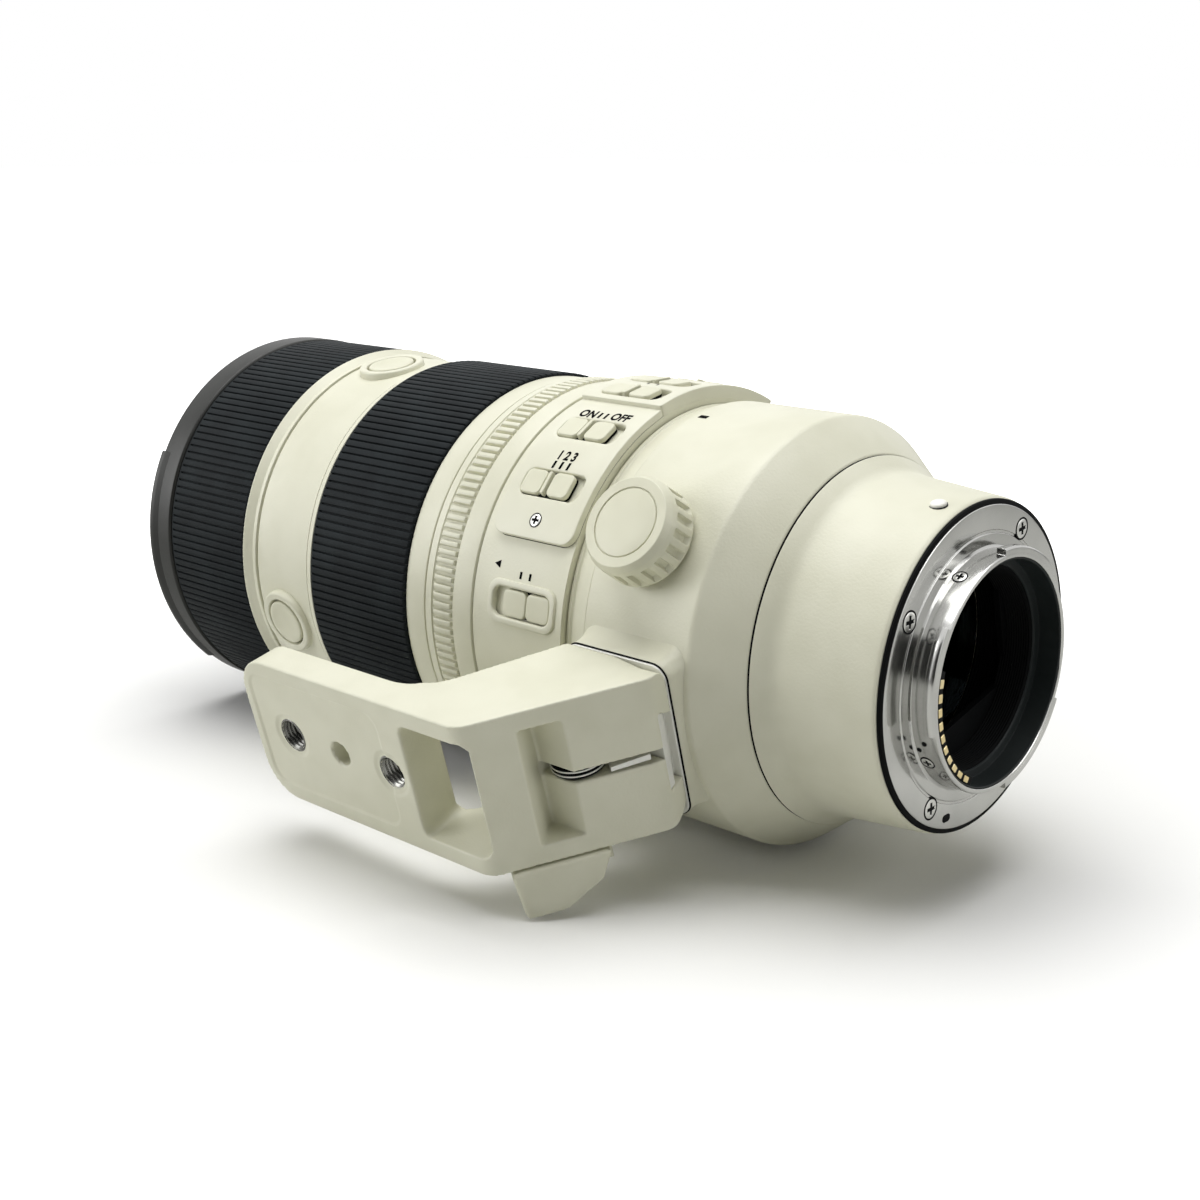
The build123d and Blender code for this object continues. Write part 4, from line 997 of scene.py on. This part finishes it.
# a screw's head is its radius, dome and cross; a hole in the tube is its angle and place
mount = {"screwCircle": 27.0, "screwAngles": [62, 150, 240, 332], "screwHead": (1.8, .15, 1.25),
         "tubeRadius": 22.22, "tubeScrewAngles": [119, 215.6], "tubeScrewHead": (1.2, .13, .85),
         "tubeHoles": [(203.0, 2.3), (207.5, .9)], "pinCircle": 28.0, "pinAngle": 253.4,
         "tabs": [(43, 94), (147, 196), (279, 335)]}
flangeProfile = [(-.8, 21.25), (-.8, 30.1), (0, 30.1, .25), (0, 25.5, .12), (-.22, 25.35), (-.22, 24.95),
                 (0, 24.8, .1), (.02, 22.75, .1), (.25, 22.2, .1), (5.2, 22.2, .3), (5.2, 21.25, .25)]
tabProfile = [(3.3, 22.0), (3.3, 23.35, .25), (5.2, 23.35, .5), (5.2, 22.0)]
tabs = [spun(tabProfile, 48, start, end - start) for start, end in mount["tabs"]]
addPiece("mount_turned", *joined(spun(flangeProfile, 320), *tabs), "bright_metal", "barrel",
         standsFor=["mount_flange"])
# the screws' crosses, the black rings round their heads and the black discs of the pin hole and the tube
# holes are painted shade
heads, shadedCrosses, rims = [], [], []
for screwAngle in mount["screwAngles"]:
    middle = polar(.02, mount["screwCircle"], screwAngle)
    head, cross = screwHead(*mount["screwHead"])
    turned = Matrix.Translation(middle) @ Matrix.Rotation(math.radians(screwAngle * 3), 4, "X")
    heads.append(moved(head, turned))
    shadedCrosses.append(moved(cross, turned))
    seatShadeRing = spun([(.04, 1.8), (.04, 2.15), (-.1, 2.15), (-.1, 1.8)], 48)
    rims.append(moved(seatShadeRing, Matrix.Translation((0, middle[1], middle[2]))))
pinMiddle = polar(0, mount["pinCircle"], mount["pinAngle"])
rims.append(filled(((pinMiddle[1], pinMiddle[2], 1.25, .75, .7), 0), [], 0, alongAxis(.03), .3))
onTube = Matrix.Translation((mount["tubeRadius"], 0, 0))
for screwAngle in mount["tubeScrewAngles"]:
    seat = outward(1.7, screwAngle) @ onTube
    head, cross = screwHead(*mount["tubeScrewHead"])
    heads.append(moved(head, seat))
    shadedCrosses.append(moved(cross, seat))
    rims.append(moved(spun([(.04, 1.2), (.04, 1.42), (-.2, 1.42), (-.2, 1.2)], 48), seat))
for holeAngle, holePlace in mount["tubeHoles"]:
    hole = spun([(.03, 0), (.03, .5), (-.2, .5), (-.2, 0)], 24)
    rims.append(moved(hole, outward(holePlace, holeAngle) @ onTube))
addPiece("mount_screws", *joined(*heads), headMetal, "barrel", slot="bright_metal")
# these black pieces are painted shade in recesses, gaps and holes
addPiece("mount_screw_painted_shade", *joined(*shadedCrosses, *rims), "matte_black", "barrel")

# inside the mount: a dark wall, a step, then a deep black bore with fine ribs
wall = [(5.0, 21.15), (4.85, 20.9, .1), (.6, 20.85, .1), (.45, 19.35, .1), (.1, 19.2), (.1, 21.15)]
addPiece("bore_wall", *spun(wall, 256), baffleBlack, "barrel", slot="matte_black")
ribs = [(.15, 19.4)]
for rib in range(12):
    ribs += [(.05 - rib * .48, 18.75 - rib * .06), (-.2 - rib * .48, 18.55 - rib * .06)]
darkRing("bore_ribs", ribs + [(-5.9, 18.2), (-5.9, 19.4)])
contacts = {"count": 10, "first": 172.3, "spread": 75, "radius": 20.1, "top": 4.8, "start": 166, "sweep": 80}
contactTop = contacts["top"]
contactBlock = [(.5, 19.3), (contactTop - .1, 19.3, .1), (contactTop, 19.5), (contactTop, 20.86), (.5, 20.86)]
addPiece("contact_block", *spun(contactBlock, 96, contacts["start"], contacts["sweep"]), "matte_black",
         "barrel", standsFor=["contact_strip"])


def onContacts(angle):
    # a flat on the contact block that faces the camera body, at an angle round the bore
    pinFrame = outward(0, angle)
    return lambda u, v, height: pinFrame @ Vector((contacts["radius"] + u, contactTop + height, v))


pins = []
for pin in range(contacts["count"]):
    pinWrap = onContacts(contacts["first"] + contacts["spread"] * pin / contacts["count"])
    pins.append(panel((0, 0, .55, .8, .16), [(0, -.2), (0, .1), (-.08, .16)], [], pinWrap, .5))
addPiece("contact_pins_plated", *joined(*pins), "gold_contact", "barrel", standsFor=["contact_pins"])
sleeve = []
for rib in range(11):
    sleeve += [(-6.2 - rib * .6, 20.6), (-6.5 - rib * .6, 21.0)]
darkRing("rear_sleeve", sleeve + [(-12.9, 21.1), (-6.1, 21.1)], 192)
print("mount built")

# camera, floor and lights

view = {"azimuth": 43.04, "elevation": 15.22, "place": (.154205, -.265567, .094238), "lens": 1728 / 1200 * 36}
camera = bpy.data.objects.new("camera", bpy.data.cameras.new("camera"))
bpy.context.scene.collection.objects.link(camera)
azimuth, elevation = math.radians(view["azimuth"]), math.radians(view["elevation"])
forward = Vector((-math.sin(azimuth) * math.cos(elevation), math.cos(azimuth) * math.cos(elevation),
                  -math.sin(elevation)))
camera.location = view["place"]
camera.rotation_euler = forward.to_track_quat("-Z", "Y").to_euler()
camera.data.lens = view["lens"]
camera.data.sensor_width = 36
camera.data.clip_start = .01
bpy.context.scene.camera = camera

floorHeight = cadBox[0][2]
floorFinish = Finish("studio floor", {"Roughness": .9, "Specular IOR Level": .1, "Emission Strength": 1})
softness = floorFinish.noise(60, 2)
# the camera sees a paler floor than the one that throws light back onto the lens
seen = floorFinish.node("ShaderNodeLightPath", {}, {}, "Is Camera Ray")
pale = floorFinish.mix(softness, colour("f4f4f2"), colour("fafaf8"))
floorFinish.feed({"Base Color": floorFinish.mix(seen, colour("dededa"), pale)})
# painted light: for camera rays the floor also glows, faintly within 9 cm of the lens's middle and fully
# white from 33 cm, so the lit floor shows white
away = floorFinish.vector("DISTANCE", {0: floorFinish.place(), 1: (-95, -10, -44)}, "Value")
paintedGlow = floorFinish.mix(away.between(90, 330), colour("101010"), colour("ffffff"))
floorFinish.feed({"Emission Color": floorFinish.mix(seen, colour("000000"), paintedGlow)})
roomFinish = Finish("dim room behind the camera", {"Roughness": .9})
roomFinish.feed({"Base Color": roomFinish.mix(roomFinish.noise(200, 2), colour("2c2c2a"), colour("3a3a37"))})


def card(name, corners, finish):
    # a flat sheet of the studio, which is no part of the lens
    mesh = bpy.data.meshes.new(name)
    mesh.from_pydata(corners, [], [(0, 1, 2, 3)])
    mesh.materials.append(finish.material)
    sheet = bpy.data.objects.new(name, mesh)
    bpy.context.scene.collection.objects.link(sheet)
    return sheet


floorCorners = [(across, along, floorHeight) for across, along in ((-6, -6), (6, -6), (6, 6), (-6, 6))]
floor = card("floor", floorCorners, floorFinish)
roomCorners = [(-.7, -1.5, floorHeight), (1.9, -1.1, floorHeight), (1.9, -1.1, .9), (-.7, -1.5, .9)]
room = card("dim_room", roomCorners, roomFinish)
room.visible_camera = False

lamps = {
    "top softbox": {"place": (-.14, -.02, .75), "aim": (-.1, 0, 0), "size": .8, "power": 7.4},
    "left window": {"place": (-.8, -.75, .3), "aim": (-.12, 0, 0), "size": .6, "power": 4.6},
    "rear window": {"place": (.95, .45, .5), "aim": (-.03, 0, 0), "size": .6, "power": 2.4},
}
for lampName, lamp in lamps.items():
    light = bpy.data.objects.new(lampName, bpy.data.lights.new(lampName, "AREA"))
    light.data.size = lamp["size"]
    light.data.energy = lamp["power"]
    light.location = lamp["place"]
    light.rotation_euler = (Vector(lamp["aim"]) - Vector(lamp["place"])).to_track_quat("-Z", "Y").to_euler()
    bpy.context.scene.collection.objects.link(light)

world = bpy.data.worlds.new("white studio")
bpy.context.scene.world = world
world.use_nodes = True
worldTree = world.node_tree
background = worldTree.nodes["Background"]
path = worldTree.nodes.new("ShaderNodeLightPath")
wallLight = .07  # what the white walls give as light
total = path.outputs["Is Camera Ray"]
for rayKind in ("Is Glossy Ray", "Is Transmission Ray"):
    add = worldTree.nodes.new("ShaderNodeMath")
    add.operation = "ADD"
    add.use_clamp = True
    worldTree.links.new(total, add.inputs[0])
    worldTree.links.new(path.outputs[rayKind], add.inputs[1])
    total = add.outputs[0]
strength = worldTree.nodes.new("ShaderNodeMapRange")
worldTree.links.new(total, strength.inputs[0])
strength.inputs[3].default_value = wallLight
strength.inputs[4].default_value = 1
worldTree.links.new(strength.outputs[0], background.inputs["Strength"])
background.inputs["Color"].default_value = (1, 1, 1, 1)

bpy.context.scene.view_settings.view_transform = "Standard"
print("studio set")
